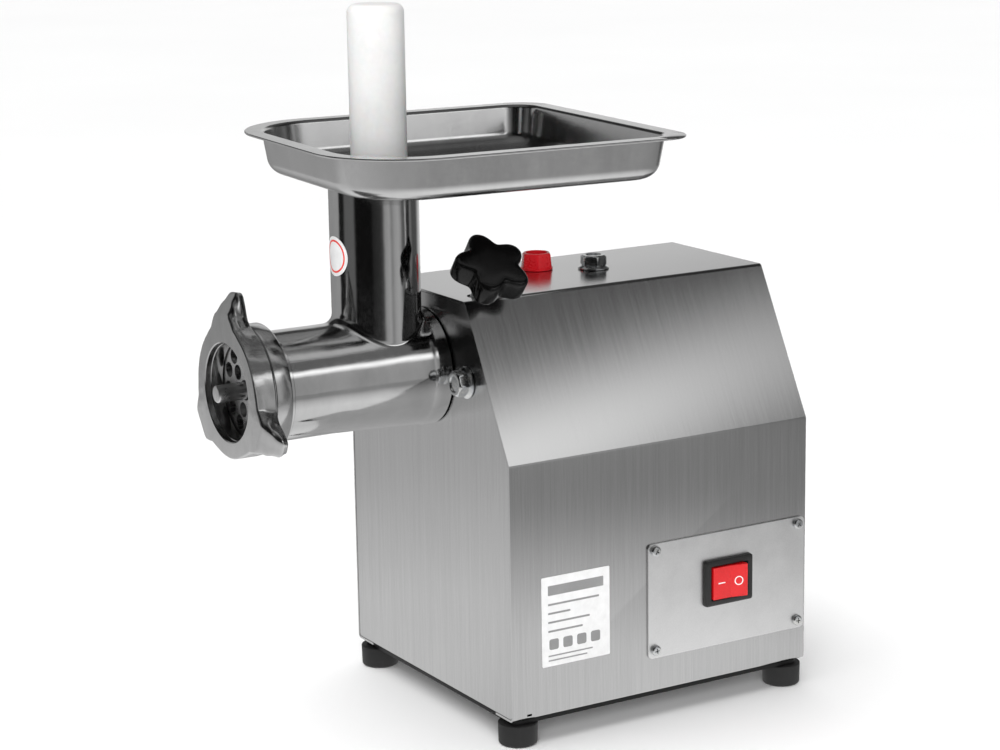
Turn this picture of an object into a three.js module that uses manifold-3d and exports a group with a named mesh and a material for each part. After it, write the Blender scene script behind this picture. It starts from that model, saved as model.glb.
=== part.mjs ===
// Electric meat grinder with a clamped, screw-feed head, in millimetres, +Z up.
// While it is built, x = 0 is the middle plane, y = 0 the housing's front face and z = 0 the table;
// the outlet faces -Y and the switch is on the +X side. The last lines centre the whole over the origin.
import * as THREE from "three";
import { mergeVertices } from "three/addons/utils/BufferGeometryUtils.js";
import Module from "manifold-3d";

const wasm = await Module();
wasm.setup();

// ---------------------------------------------------------------- driving dimensions
const GAP = 0.3; // clearance between pieces that touch
const SHEET = 1.2; // sheet of the housing
const HALF_WIDTH = 88; // of the housing, below its shoulders
const LENGTH = 195;
const BOTTOM = 15.1;
const SHOULDER = 157.2; // where the slopes begin
const TOP = 238.6;
const HALF_TOP = 44.75;
const FLANGE = 18; // inward return along the bottom edges

const AXIS_Z = 196.5; // height of the head and of the output shaft
const BARREL_R = 29.6; // outside of the head's barrel at its front
const BARREL_REAR_R = 31.5;
const BORE_R = 22; // auger bore
const SPIGOT_R = 25.9; // tail of the head, held in the neck
const SPIGOT_END = 48;
const HEAD_FRONT = -108.7;
const RING_FRONT = -120;
const MOUTH_R = 26.2; // opening of the ring nut
const NUT = { radius: 35.3, rear: -97.6, back: -108.4, turn: 94.5 }; // back: of the ears; turn: of one ear
const PLATE_R = 27; // hole plate of the 54 mm class
const PLATE_THICK = 5;

const FEED_Y = -29.2; // axis of the feed tube
const FEED_R = 24.3;
const FEED_BORE = 21.7;
const FEED_TOP = 300.1;
const PUSHER = { radius: 15.2, x: 1.8, y: FEED_Y + 3, bottom: 219.5, top: 395, round: 4.5 };

const TRAY = {
  halfX: 95,
  halfY: 99.5,
  frontCorner: 52,
  rearCorner: 20,
  rim: 9.5,
  top: 324.4,
  floor: FEED_TOP + GAP,
  sheet: 1.2,
  aside: -2, // from the feed tube's axis to the middle of the tray, across and back
  behind: 48.25,
  turn: THREE.MathUtils.degToRad(-4), // the tray stands slightly turned on its collar
};

const CLAMP = {
  angle: THREE.MathUtils.degToRad(50.5),
  y: 14,
  neck: 64, // distances from the head's axis
  knob: 69.3,
  face: 82.2,
  lobes: 5,
  lobe: 3.1, // depth between two lobes
  radius: 21.2,
  turn: THREE.MathUtils.degToRad(40),
};
const PANEL = { y0: 86.9, y1: 193.4, z0: 35.1, z1: 100.6, thick: 1 };
const SWITCH = { y: 139.8, z: 72.1, bezelY: 32.4, bezelZ: 26.6, proud: 2.7, tilt: THREE.MathUtils.degToRad(7) };
const FEET = { x: 78.3, y0: 8.9, y1: 186.1, radius: 11.2, height: 12.3 };

// Gear train: motor pinion > idler gear, idler pinion > output gear.
const FIRST = { module: 1.5, pinion: 12, gear: 38, y0: 86, y1: 95 };
const SECOND = { module: 2, pinion: 12, gear: 30, y0: 70, y1: 82 };
const MOTOR_DROP = 79; // motor axis below the output axis
const MOTOR_Z = AXIS_Z - MOTOR_DROP;
const CENTRES_1 = (FIRST.module * (FIRST.pinion + FIRST.gear)) / 2;
const CENTRES_2 = (SECOND.module * (SECOND.pinion + SECOND.gear)) / 2;
const IDLER_RISE = (CENTRES_1 ** 2 - CENTRES_2 ** 2 + MOTOR_DROP ** 2) / (2 * MOTOR_DROP);
const IDLER = { x: Math.sqrt(CENTRES_1 ** 2 - IDLER_RISE ** 2), z: MOTOR_Z + IDLER_RISE };
const CASE = { half: 42, wall: 5, z0: 100, z1: TOP - SHEET - GAP, y0: 62, y1: 100, roof: 229.2 };
const MOTOR = { radius: 46, y0: 105.6, stack0: 121, stack1: 157, y1: 172.7 };

// ---------------------------------------------------------------- materials
const finish = (color, roughness, metalness) => new THREE.MeshStandardMaterial({ color, roughness, metalness });
const brushed = finish(0xb4b5b3, 0.38, 1);
const polished = finish(0xc9cac9, 0.14, 1);
const plate = finish(0xcfcfce, 0.45, 0.9);
const zinc = finish(0xb9bbbd, 0.3, 1);
const castAluminium = finish(0x9da0a2, 0.55, 0.9);
const steel = finish(0x8d8f91, 0.35, 1);
const laminations = finish(0x5b5d60, 0.5, 0.8);
const blackPlastic = finish(0x0e0e0f, 0.28, 0);
const blackPaint = finish(0x1a1a1b, 0.5, 0.1);
const rubber = finish(0x111112, 0.8, 0);
const redPlastic = finish(0xcc1420, 0.3, 0);
const whitePlastic = finish(0xeeeeec, 0.45, 0);
const paper = finish(0xf3f3f1, 0.5, 0);

// ---------------------------------------------------------------- shape helpers
const model = new THREE.Group();

function piece(name, geometry, material, position = [0, 0, 0]) {
  const mesh = new THREE.Mesh(geometry, material);
  mesh.name = name;
  mesh.position.set(...position);
  model.add(mesh);
  return mesh;
}

// Turns a geometry into a manifold-3d solid.
function solid(geometry) {
  const bare = geometry.clone();
  bare.deleteAttribute("normal");
  bare.deleteAttribute("uv");
  const merged = mergeVertices(bare, 1e-3);
  const triVerts = new Uint32Array(merged.index.array);
  return new wasm.Manifold(
    new wasm.Mesh({ numProp: 3, vertProperties: merged.attributes.position.array, triVerts }),
  );
}

function geometryOf(manifold) {
  const mesh = manifold.getMesh();
  const geometry = new THREE.BufferGeometry();
  geometry.setAttribute("position", new THREE.BufferAttribute(new Float32Array(mesh.vertProperties), 3));
  geometry.setIndex(new THREE.BufferAttribute(new Uint32Array(mesh.triVerts), 1));
  geometry.computeVertexNormals();
  return geometry;
}

// Joins some geometries, then cuts others away.
function shaped(joined, removed = []) {
  let result = solid(joined[0]);
  for (const geometry of joined.slice(1)) result = result.add(solid(geometry));
  for (const geometry of removed) result = result.subtract(solid(geometry));
  return geometryOf(result);
}

function outline(points) {
  return new THREE.Shape(points.map(([a, b]) => new THREE.Vector2(a, b)));
}

function circlePath(a, b, radius) {
  return new THREE.Path().absarc(a, b, radius, 0, Math.PI * 2, true);
}

function extruded(shape, depth, curveSegments = 12) {
  return new THREE.ExtrudeGeometry(shape, { depth, bevelEnabled: false, curveSegments });
}

// A shape drawn in (x, y), standing from z0 to z1.
function prismZ(shape, z0, z1, curveSegments) {
  return extruded(shape, z1 - z0, curveSegments).translate(0, 0, z0);
}

// A shape drawn in (x, z), running from y0 to y1.
function prismY(shape, y0, y1, curveSegments) {
  return extruded(shape, y1 - y0, curveSegments).rotateX(Math.PI / 2).translate(0, y1, 0);
}

// A shape drawn in (y, z), running from x0 to x1.
function prismX(shape, x0, x1, curveSegments) {
  const yzx = new THREE.Matrix4().set(0, 0, 1, 0, 1, 0, 0, 0, 0, 1, 0, 0, 0, 0, 0, 1);
  return extruded(shape, x1 - x0, curveSegments).applyMatrix4(yzx).translate(x0, 0, 0);
}

function box(x0, x1, y0, y1, z0, z1) {
  return new THREE.BoxGeometry(x1 - x0, y1 - y0, z1 - z0).translate((x0 + x1) / 2, (y0 + y1) / 2, (z0 + z1) / 2);
}

// A closed profile of [radius, height] points, turned round +Y; the points run either way round.
function turned(profile, segments = 24) {
  let area = 0;
  profile.forEach(([r, h], i) => {
    const [r2, h2] = profile[(i + 1) % profile.length];
    area += r * h2 - r2 * h;
  });
  const ordered = area > 0 ? [...profile] : [...profile].reverse();
  const onAxis = ordered.findIndex(([r, h], i) => r === 0 && ordered.at(i - 1)[0] === 0);
  const points = onAxis < 0 ? [...ordered, ordered[0]] : [...ordered.slice(onAxis), ...ordered.slice(0, onAxis)];
  return new THREE.LatheGeometry(points.map(([r, h]) => new THREE.Vector2(r, h)), segments);
}

// Round bar or tube on a Y axis through (x, z).
function roundY(radius, y0, y1, x = 0, z = 0, inner = 0, segments = 24) {
  return turned([[inner, y0], [radius, y0], [radius, y1], [inner, y1]], segments).translate(x, 0, z);
}

function roundZ(radius, z0, z1, x = 0, y = 0, inner = 0, segments = 24) {
  const bar = turned([[inner, z0], [radius, z0], [radius, z1], [inner, z1]], segments);
  return bar.rotateX(Math.PI / 2).translate(x, y, 0);
}

function roundX(radius, x0, x1, y, z, segments = 10) {
  const bar = turned([[0, x0], [radius, x0], [radius, x1], [0, x1]], segments);
  return bar.rotateZ(-Math.PI / 2).translate(0, y, z);
}

function hexagon(acrossFlats) {
  const corner = acrossFlats / Math.sqrt(3);
  return outline(Array.from({ length: 6 }, (_, i) => {
    const a = (Math.PI / 3) * i;
    return [corner * Math.cos(a), corner * Math.sin(a)];
  }));
}

// Rounded rectangle with its middle at (a, b).
function roundedRect(halfA, halfB, radius, a = 0, b = 0, steps = 5) {
  const points = [];
  const middles = [[1, 1], [-1, 1], [-1, -1], [1, -1]];
  middles.forEach(([sa, sb], quarter) => {
    for (let i = 0; i <= steps; i += 1) {
      const t = (Math.PI / 2) * (quarter + i / steps);
      const middleA = a + sa * (halfA - radius);
      const middleB = b + sb * (halfB - radius);
      points.push([middleA + radius * Math.cos(t), middleB + radius * Math.sin(t)]);
    }
  });
  return points;
}

// Closed body through rings of equal length, from the lowest up; open rings of a tube are joined last to first.
function loft(rings, tube = false) {
  const count = rings[0].length;
  const vertices = rings.flat(2);
  const index = [];
  const bands = tube ? rings.length : rings.length - 1;
  for (let r = 0; r < bands; r += 1) {
    for (let i = 0; i < count; i += 1) {
      const a = r * count + i;
      const b = r * count + ((i + 1) % count);
      const c = ((r + 1) % rings.length) * count + i;
      const d = ((r + 1) % rings.length) * count + ((i + 1) % count);
      index.push(a, b, d, a, d, c);
    }
  }
  if (!tube) {
    const last = (rings.length - 1) * count;
    for (let i = 1; i < count - 1; i += 1) {
      index.push(0, i + 1, i);
      index.push(last, last + i, last + i + 1);
    }
  }
  const geometry = new THREE.BufferGeometry();
  geometry.setAttribute("position", new THREE.Float32BufferAttribute(vertices, 3));
  geometry.setIndex(index);
  return geometry;
}

// ---------------------------------------------------------------- housing
// The housing's outline in (x, z), moved inwards by inset.
function housingOutline(inset, bottom = BOTTOM + inset) {
  const lean = Math.atan2(HALF_WIDTH - HALF_TOP, TOP - SHOULDER);
  const side = HALF_WIDTH - inset;
  const shoulder = SHOULDER - inset * Math.tan(lean / 2);
  const top = HALF_TOP - inset * Math.tan((Math.PI / 2 - lean) / 2);
  const right = [[side, bottom], [side, shoulder], [top, TOP - inset]];
  return [...right, ...right.map(([x, z]) => [-x, z]).reverse()];
}

const TOP_BOLT = { x: 1.6, y: 109.6 };
const OIL_PLUG = { x: -15, y: 82 };
const FRONT_BOLTS = [{ name: "front_bolt_left", x: -45 }, { name: "front_bolt_right", x: 45 }];
const FRONT_BOLT_Z = 195;
const PANEL_SCREWS = [[91.4, 96.7], [91.4, 39.8], [188.4, 96.7], [188.4, 39.8]];
const REAR_SCREWS = [[-79, 40], [79, 40], [-36, 230], [36, 230]];
const FOOT_PLACES = [[-FEET.x, FEET.y0], [FEET.x, FEET.y0], [-FEET.x, FEET.y1], [FEET.x, FEET.y1]];
const GLAND = { x: 52, z: 46, radius: 3.7 };

// Lays a +Y geometry of height r along the clamp screw's axis, which is radial to the head.
function alongClamp(geometry) {
  return geometry.rotateZ(CLAMP.angle - Math.PI / 2).applyMatrix4(new THREE.Matrix4().set(
    1, 0, 0, 0,
    0, 0, -1, CLAMP.y,
    0, 1, 0, AXIS_Z,
    0, 0, 0, 1,
  ));
}

function clampBar(radius, r0, r1, segments = 16) {
  return alongClamp(turned([[0, r0], [radius, r0], [radius, r1], [0, r1]], segments));
}

function makeHousing() {
  const outer = housingOutline(0);
  const inner = housingOutline(SHEET);
  const lip = HALF_WIDTH - FLANGE;
  const section = outline([
    [lip, BOTTOM],
    ...outer,
    [-lip, BOTTOM],
    [-lip, BOTTOM + SHEET],
    ...inner.reverse(),
    [lip, BOTTOM + SHEET],
  ]);
  const rearFlange = outline(housingOutline(SHEET / 2));
  rearFlange.holes.push(outline(housingOutline(15)));
  const holes = [
    box(HALF_WIDTH - 5, HALF_WIDTH + 5, 102, 180, 46, 90),
    roundZ(4.3, TOP - 5, TOP + 5, TOP_BOLT.x, TOP_BOLT.y, 0, 12),
    roundZ(7, TOP - 5, TOP + 5, OIL_PLUG.x, OIL_PLUG.y, 0, 16),
    clampBar(5.4, 45, 66),
    ...PANEL_SCREWS.map(([y, z]) => roundX(1.8, HALF_WIDTH - 5, HALF_WIDTH + 5, y, z, 8)),
    ...REAR_SCREWS.map(([x, z]) => roundY(1.9, LENGTH - 5, LENGTH + 5, x, z, 0, 8)),
    ...FOOT_PLACES.map(([x, y]) => roundZ(2.9, BOTTOM - 2, BOTTOM + 5, x, y, 0, 10)),
  ];
  const wrapper = shaped([prismY(section, 0, LENGTH), prismY(rearFlange, 191.7, 192.9)], holes);
  piece("housing_wrapper", wrapper, brushed);

  const front = outline(housingOutline(SHEET + GAP));
  front.holes.push(circlePath(0, AXIS_Z, SPIGOT_R + 1.1));
  for (const { x } of FRONT_BOLTS) front.holes.push(circlePath(x, FRONT_BOLT_Z, 4.4));
  piece("front_panel", prismY(front, 0, SHEET), brushed);

  const rear = outline(housingOutline(SHEET + GAP));
  for (const [x, z] of REAR_SCREWS) rear.holes.push(circlePath(x, z, 1.9));
  rear.holes.push(circlePath(GLAND.x, GLAND.z, 8.3));
  for (const side of [-1, 1]) {
    for (let row = 0; row < 6; row += 1) {
      rear.holes.push(new THREE.Path(roundedRect(16, 1.6, 1.5, side * 22, 94 + row * 9, 1)
        .reverse()
        .map(([x, z]) => new THREE.Vector2(x, z))));
    }
  }
  piece("rear_panel", prismY(rear, 193.2, 194.4, 5), brushed);
  REAR_SCREWS.forEach(([x, z], i) => {
    const screw = turned([[0, 188], [1.6, 188], [1.6, 194.7], [3.1, 194.7], [3.1, 195.7], [2.2, 196.7], [0, 196.7]], 8);
    piece(`rear_screw_${i + 1}`, screw.translate(x, 0, z), zinc);
  });

  const base = outline(roundedRect(85.6, 95.1, 4, 0, LENGTH / 2));
  for (const [x, y] of FOOT_PLACES) base.holes.push(circlePath(x, y, 2.9));
  for (let row = 0; row < 5; row += 1) {
    base.holes.push(new THREE.Path(roundedRect(24, 1.8, 1.7, 0, 118 + row * 10, 1)
      .reverse()
      .map(([x, y]) => new THREE.Vector2(x, y))));
  }
  piece("base_plate", prismZ(base, FEET.height + GAP, BOTTOM - GAP, 5), blackPaint);

  FOOT_PLACES.forEach(([x, y], i) => {
    const { radius, height } = FEET;
    const foot = turned([
      [5.6, 0],
      [radius - 1, 0],
      [radius - 0.2, 1],
      [radius, height],
      [2.9, height],
      [2.9, 6],
      [5.6, 6],
    ], 14);
    piece(`foot_${i + 1}`, foot.rotateX(Math.PI / 2), rubber, [x, y, 0]);
    const screw = turned([[0, 3], [4, 3], [4.6, 4.2], [4.6, 5.7], [2.5, 5.7], [2.5, 18.5], [0, 18.5]], 8);
    piece(`foot_screw_${i + 1}`, screw.rotateX(Math.PI / 2), zinc, [x, y, 0]);
  });
}

// ---------------------------------------------------------------- switch, labels and outside fasteners
function makeControls() {
  const face = HALF_WIDTH + GAP;
  const { y0, y1, z0, z1, thick } = PANEL;
  const sheet = outline(roundedRect((y1 - y0) / 2, (z1 - z0) / 2, 2.5, (y0 + y1) / 2, (z0 + z1) / 2, 3));
  sheet.holes.push(new THREE.Path(roundedRect(13.9, 11.3, 0.8, SWITCH.y, SWITCH.z, 2)
    .reverse()
    .map(([y, z]) => new THREE.Vector2(y, z))));
  for (const [y, z] of PANEL_SCREWS) sheet.holes.push(circlePath(y, z, 1.8));
  piece("control_plate", prismX(sheet, face, face + thick, 5), plate);

  const outside = face + thick + GAP;
  PANEL_SCREWS.forEach(([y, z], i) => {
    const head = [[0, outside + 2.1], [1.6, outside + 2], [2.9, outside + 1], [2.9, outside], [1.5, outside]];
    const screw = turned([...head, [1.5, outside - 8], [0, outside - 8]], 8);
    piece(`panel_screw_${i + 1}`, screw.rotateZ(-Math.PI / 2).translate(0, y, z), zinc);
  });

  const bezel = outline(roundedRect(SWITCH.bezelY / 2, SWITCH.bezelZ / 2, 2, SWITCH.y, SWITCH.z, 3));
  const pocket = box(outside - 13, outside + 9, SWITCH.y - 12.3, SWITCH.y + 12.3, SWITCH.z - 9.6, SWITCH.z + 9.6);
  const body = box(outside - 26, outside + 0.5, SWITCH.y - 13.5, SWITCH.y + 13.5, SWITCH.z - 11, SWITCH.z + 11);
  piece("switch_body", shaped([prismX(bezel, outside, outside + SWITCH.proud), body], [pocket]), blackPlastic);

  // The rocker's section in (x, y) about its pin: a shallow V in front, a keel behind.
  const rocker = outline([
    [-6, -2.5],
    [-1, -8.5],
    [4.4, -11.1],
    [7.4, -10.9],
    [6.2, 0],
    [7.4, 10.9],
    [4.4, 11.1],
    [-1, 8.5],
    [-6, 2.5],
  ]);
  const button = prismZ(rocker, -9.2, 9.2).rotateZ(-SWITCH.tilt);
  piece("switch_rocker", button, redPlastic, [outside - 2.5, SWITCH.y, SWITCH.z]);

  piece("rating_label", box(face, face + 0.25, 18.8, 62.2, 43, 93.2), paper);

  const flangeBolt = () => shaped([
    prismZ(hexagon(13), 1.6, 7.9),
    turned([[0, -12], [3.9, -12], [3.9, 0], [8.9, 0], [8.9, 0.9], [6.6, 2.2], [0, 2.2]], 14).rotateX(Math.PI / 2),
  ], [roundZ(4.4, 7.2, 9, 0, 0, 0, 12)]);
  piece("top_bolt", flangeBolt(), zinc, [TOP_BOLT.x, TOP_BOLT.y, TOP + GAP]);
  for (const { name, x } of FRONT_BOLTS) {
    piece(name, flangeBolt().rotateX(Math.PI / 2), zinc, [x, -GAP, FRONT_BOLT_Z]);
  }

  const plug = shaped([
    prismZ(hexagon(16), 0.8, 9.6),
    turned([[0, -7], [6.5, -7], [6.5, 0], [9.2, 0], [9.2, 1.4], [0, 1.4]], 14).rotateX(Math.PI / 2),
  ], [roundZ(6.2, 6.2, 12, 0, 0, 0, 16)]);
  piece("oil_plug", plug, redPlastic, [OIL_PLUG.x, OIL_PLUG.y, TOP + GAP]);

  const gland = shaped([
    turned([[0, 184], [7.9, 184], [7.9, 194.9], [0, 194.9]], 16).translate(GLAND.x, 0, GLAND.z),
    prismY(hexagon(19), 194.7, 199.5).translate(GLAND.x, 0, GLAND.z),
    turned([[0, 199], [8.4, 199], [8.2, 203], [6.2, 207.5], [0, 207.5]], 16).translate(GLAND.x, 0, GLAND.z),
  ], [roundY(GLAND.radius, 180, 210, GLAND.x, GLAND.z, 0, 12)]);
  piece("cable_gland", gland, blackPlastic);
}

// ---------------------------------------------------------------- gearbox
// Spur gear outline in (x, z) with one tooth's middle at angle phase.
function gearOutline(module, teeth, phase, boreRadius) {
  const pitch = (module * teeth) / 2;
  const half = (Math.PI / teeth / 2) * 0.86;
  const lean = 0.34;
  const levels = [
    [pitch - 1.2 * module, half + (lean * 0.7 * module) / pitch],
    [pitch + 0.95 * module, half - (lean * 1.15 * module) / pitch],
  ];
  const points = [];
  for (let tooth = 0; tooth < teeth; tooth += 1) {
    const middle = phase + (2 * Math.PI * tooth) / teeth;
    const flank = levels.map(([r, h]) => [r * Math.cos(middle - h), r * Math.sin(middle - h)]);
    const back = [...levels].reverse().map(([r, h]) => [r * Math.cos(middle + h), r * Math.sin(middle + h)]);
    points.push(...flank, ...back);
  }
  const shape = outline(points);
  shape.holes.push(circlePath(0, 0, boreRadius));
  return shape;
}

function makeGearbox() {
  const { half, wall, z0, z1, y0, y1, roof } = CASE;
  const neck = roundY(36, SHEET + GAP, y0 + 2, 0, AXIS_Z, 0, 32);
  const flange = box(-56, 56, SHEET + GAP, 14, 181, 209);
  const gearCase = box(-half, half, y0, y1, z0, z1);
  const lug = [box(-12, 12, y1 - 2, 122, 232, z1), box(-12, 12, 108, 122, 222, z1)];
  const cavity = box(-half + wall, half - wall, y0 + wall, y1 + 5, z0 + wall, roof);
  const body = shaped([neck, flange, gearCase, ...lug], [
    roundY(SPIGOT_R + GAP, 0, SPIGOT_END + 2, 0, AXIS_Z, 0, 32),
    roundY(15, 40, 60, 0, AXIS_Z),
    roundY(20.3, 53, 70, 0, AXIS_Z),
    roundY(7.4, y0 + 1.5, y0 + wall + 1, IDLER.x, IDLER.z, 0, 12),
    roundZ(4.2, 215, TOP, TOP_BOLT.x, TOP_BOLT.y, 0, 12),
    roundZ(6.8, 220, TOP, OIL_PLUG.x, OIL_PLUG.y, 0, 14),
    clampBar(4.3, 20, 40),
    ...FRONT_BOLTS.map(({ x }) => roundY(4.2, 0, 20, x, FRONT_BOLT_Z, 0, 12)),
    cavity,
  ]);
  piece("gearbox_body", body, castAluminium);

  const coverY = y1 + GAP;
  const cover = shaped([
    box(-half, half, coverY, coverY + 4.7, z0, 231.6),
    roundY(21, coverY, coverY + 8, 0, AXIS_Z),
  ], [
    roundY(17.3, coverY - 1, coverY + 6.5, 0, AXIS_Z),
    roundY(7.4, coverY - 1, coverY + 3.5, IDLER.x, IDLER.z, 0, 12),
    roundY(9, coverY - 1, coverY + 9, 0, MOTOR_Z, 0, 14),
  ]);
  piece("gearbox_cover", cover, castAluminium);

  const toOutput = Math.atan2(AXIS_Z - IDLER.z, -IDLER.x);
  const toIdler = Math.atan2(IDLER.z - MOTOR_Z, IDLER.x);
  const gapTurn = (teeth) => Math.PI + Math.PI / teeth; // a gap faces back along the line of centres
  const outputGear = gearOutline(SECOND.module, SECOND.gear, toOutput + gapTurn(SECOND.gear), 12.8);
  piece("output_gear", prismY(outputGear, SECOND.y0, SECOND.y1, 10), steel, [0, 0, AXIS_Z]);
  const idlerPinion = gearOutline(SECOND.module, SECOND.pinion, toOutput, 7.3);
  piece("idler_pinion", prismY(idlerPinion, SECOND.y0 - 1, SECOND.y1 + 1, 8), steel, [IDLER.x, 0, IDLER.z]);
  const idlerGear = gearOutline(FIRST.module, FIRST.gear, toIdler + gapTurn(FIRST.gear), 7.3);
  piece("idler_gear", prismY(idlerGear, FIRST.y0, FIRST.y1, 8), steel, [IDLER.x, 0, IDLER.z]);
  piece("idler_shaft", roundY(7, y0 + 2, coverY + 3, IDLER.x, IDLER.z, 0, 16), steel);
  const motorPinion = gearOutline(FIRST.module, FIRST.pinion, toIdler, 5.3);
  piece("motor_pinion", prismY(motorPinion, FIRST.y0 - 1, FIRST.y1 + 1, 8), steel, [0, 0, MOTOR_Z]);

  const shaft = shaped([
    turned([[0, 51.5], [12.5, 51.5], [12.5, 83.5], [10, 83.5], [10, 106], [0, 106]], 20).translate(0, 0, AXIS_Z),
  ], [box(-6, 6, 45, 63, AXIS_Z - 6, AXIS_Z + 6)]);
  piece("output_shaft", shaft, steel);
  piece("front_bearing", roundY(20, 53.3, 63, 0, AXIS_Z, 12.8), steel);
  piece("rear_bearing", roundY(17, coverY + 0.3, coverY + 6.2, 0, AXIS_Z, 10.3), steel);
}

// ---------------------------------------------------------------- motor
function makeMotor() {
  const { radius, y0, stack0, stack1, y1 } = MOTOR;
  // An end bell: a disc, a rim that meets the stack and a boss that holds the bearing.
  const bell = (wallY, inward, rimEnd) => turned([
    [7.8, wallY],
    [radius, wallY],
    [radius, rimEnd],
    [radius - 3.5, rimEnd],
    [radius - 3.5, wallY + inward * 4],
    [17, wallY + inward * 4],
    [17, wallY + inward * 10.5],
    [13.3, wallY + inward * 10.5],
    [13.3, wallY + inward * 3.5],
    [7.8, wallY + inward * 3.5],
  ]).translate(0, 0, MOTOR_Z);
  piece("motor_front_bell", bell(y0, 1, stack0 - GAP), castAluminium);
  piece("motor_rear_bell", bell(y1, -1, stack1 + GAP), castAluminium);
  const bearing = (a, b) => roundY(13, a, b, 0, MOTOR_Z, 7.3, 16);
  piece("motor_front_bearing", bearing(y0 + 3.8, y0 + 10.3), steel);
  piece("motor_rear_bearing", bearing(y1 - 10.3, y1 - 3.8), steel);
  const stator = shaped([
    roundY(radius - 0.5, stack0, stack1, 0, MOTOR_Z, 29),
    roundY(40.5, stack0 - 7, stack1 + 7, 0, MOTOR_Z, 31),
  ]);
  piece("motor_stator", stator, laminations);
  piece("motor_rotor", roundY(28.5, stack0 + 1, stack1 - 1, 0, MOTOR_Z, 7.3, 24), laminations);
  const shaft = turned([[0, 84], [5, 84], [5, 98], [7, 98], [7, 178], [4, 178], [4, 187], [0, 187]], 20);
  piece("motor_shaft", shaft.translate(0, 0, MOTOR_Z), steel);

  // Fan: a hub, a back disc and straight blades that reach into both.
  const blades = [];
  const bladeCount = 7;
  for (let i = 0; i < bladeCount; i += 1) {
    const blade = box(6, 31, 178.5, 185, -0.8, 0.8).rotateY((2 * Math.PI * i) / bladeCount);
    blades.push(blade.translate(0, 0, MOTOR_Z));
  }
  const fan = shaped([
    roundY(9, 178.3, 187, 0, MOTOR_Z, 0, 14),
    roundY(31, 184.2, 186, 0, MOTOR_Z),
    ...blades,
  ], [roundY(4.3, 170, 190, 0, MOTOR_Z, 0, 10)]);
  piece("motor_fan", fan, blackPlastic);

  piece("capacitor", turned([[0, 66], [16, 66], [17, 67.5], [17, 128], [0, 128]], 18).translate(-62, 0, 38), whitePlastic);
  const strap = outline([
    [-83.5, 16.7],
    [-62, 16.7],
    [-40.5, 16.7],
    [-40.5, 44],
    [-43, 44],
    [-43, 18.7],
    [-81, 18.7],
    [-81, 44],
    [-83.5, 44],
  ]);
  piece("capacitor_cradle", prismY(strap, 88, 106), zinc);
}

// ---------------------------------------------------------------- head, auger, knife and plate
function makeHead() {
  const barrel = turned([
    [0, HEAD_FRONT],
    [30, HEAD_FRONT],
    [30, NUT.rear + 0.4],
    [31.2, NUT.rear + 0.4],
    [31.2, -94.8],
    [BARREL_R, -94.5],
    [BARREL_R, -62],
    [BARREL_REAR_R, -14],
    [32.3, -9],
    [32.3, -1.2],
    [SPIGOT_R, -1.2],
    [SPIGOT_R, SPIGOT_END],
    [0, SPIGOT_END],
  ], 36).translate(0, 0, AXIS_Z);
  const feedTube = roundZ(FEED_R, AXIS_Z, FEED_TOP, 0, FEED_Y, 0, 32);
  const head = shaped([barrel, feedTube], [
    roundY(BORE_R, HEAD_FRONT - 5, SPIGOT_END + 5, 0, AXIS_Z, 0, 32),
    roundY(PLATE_R + GAP, HEAD_FRONT - 5, HEAD_FRONT + PLATE_THICK - 0.3, 0, AXIS_Z, 0, 36),
    roundZ(FEED_BORE, AXIS_Z, FEED_TOP + 5, 0, FEED_Y, 0, 32),
  ]);
  piece("grinder_head", head, polished);

  const band = solid(roundZ(FEED_R + 0.55, 240, 290, 0, FEED_Y, FEED_R + GAP, 60));
  const disc = solid(roundY(10.8, FEED_Y - 40, FEED_Y - 5, 0, 262.5, 0, 20));
  piece("round_label", geometryOf(band.intersect(disc)), paper);

  makeAuger();

  const plateShape = new THREE.Shape().absarc(0, 0, PLATE_R, 0, Math.PI * 2, false);
  plateShape.holes.push(circlePath(0, 0, 5.5));
  for (const [count, radius, phase] of [[12, 20.4, 0.13], [6, 11.6, 0.26]]) {
    for (let i = 0; i < count; i += 1) {
      const a = phase + (2 * Math.PI * i) / count;
      plateShape.holes.push(circlePath(radius * Math.cos(a), radius * Math.sin(a), 4.1));
    }
  }
  const plateFront = HEAD_FRONT - 0.3;
  const holePlate = prismY(plateShape, plateFront, plateFront + PLATE_THICK, 4).translate(0, 0, AXIS_Z);
  piece("hole_plate", holePlate, steel);

  // Cross knife: four tapered blades round a square hole.
  const knife = [];
  for (let i = 0; i < 4; i += 1) {
    const a = (Math.PI / 2) * i;
    for (const [r, t] of [[9.5, -0.72], [9.5, -0.45], [20.5, -0.16], [20.8, 0.06], [12, 0.42]]) {
      knife.push([r * Math.cos(a + t), r * Math.sin(a + t)]);
    }
  }
  const knifeShape = outline(knife);
  knifeShape.holes.push(outline([[-5, -5], [-5, 5], [5, 5], [5, -5]]));
  const knifeY = plateFront + PLATE_THICK + GAP;
  piece("cross_knife", prismY(knifeShape, knifeY, knifeY + 7).translate(0, 0, AXIS_Z), steel);
}

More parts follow.
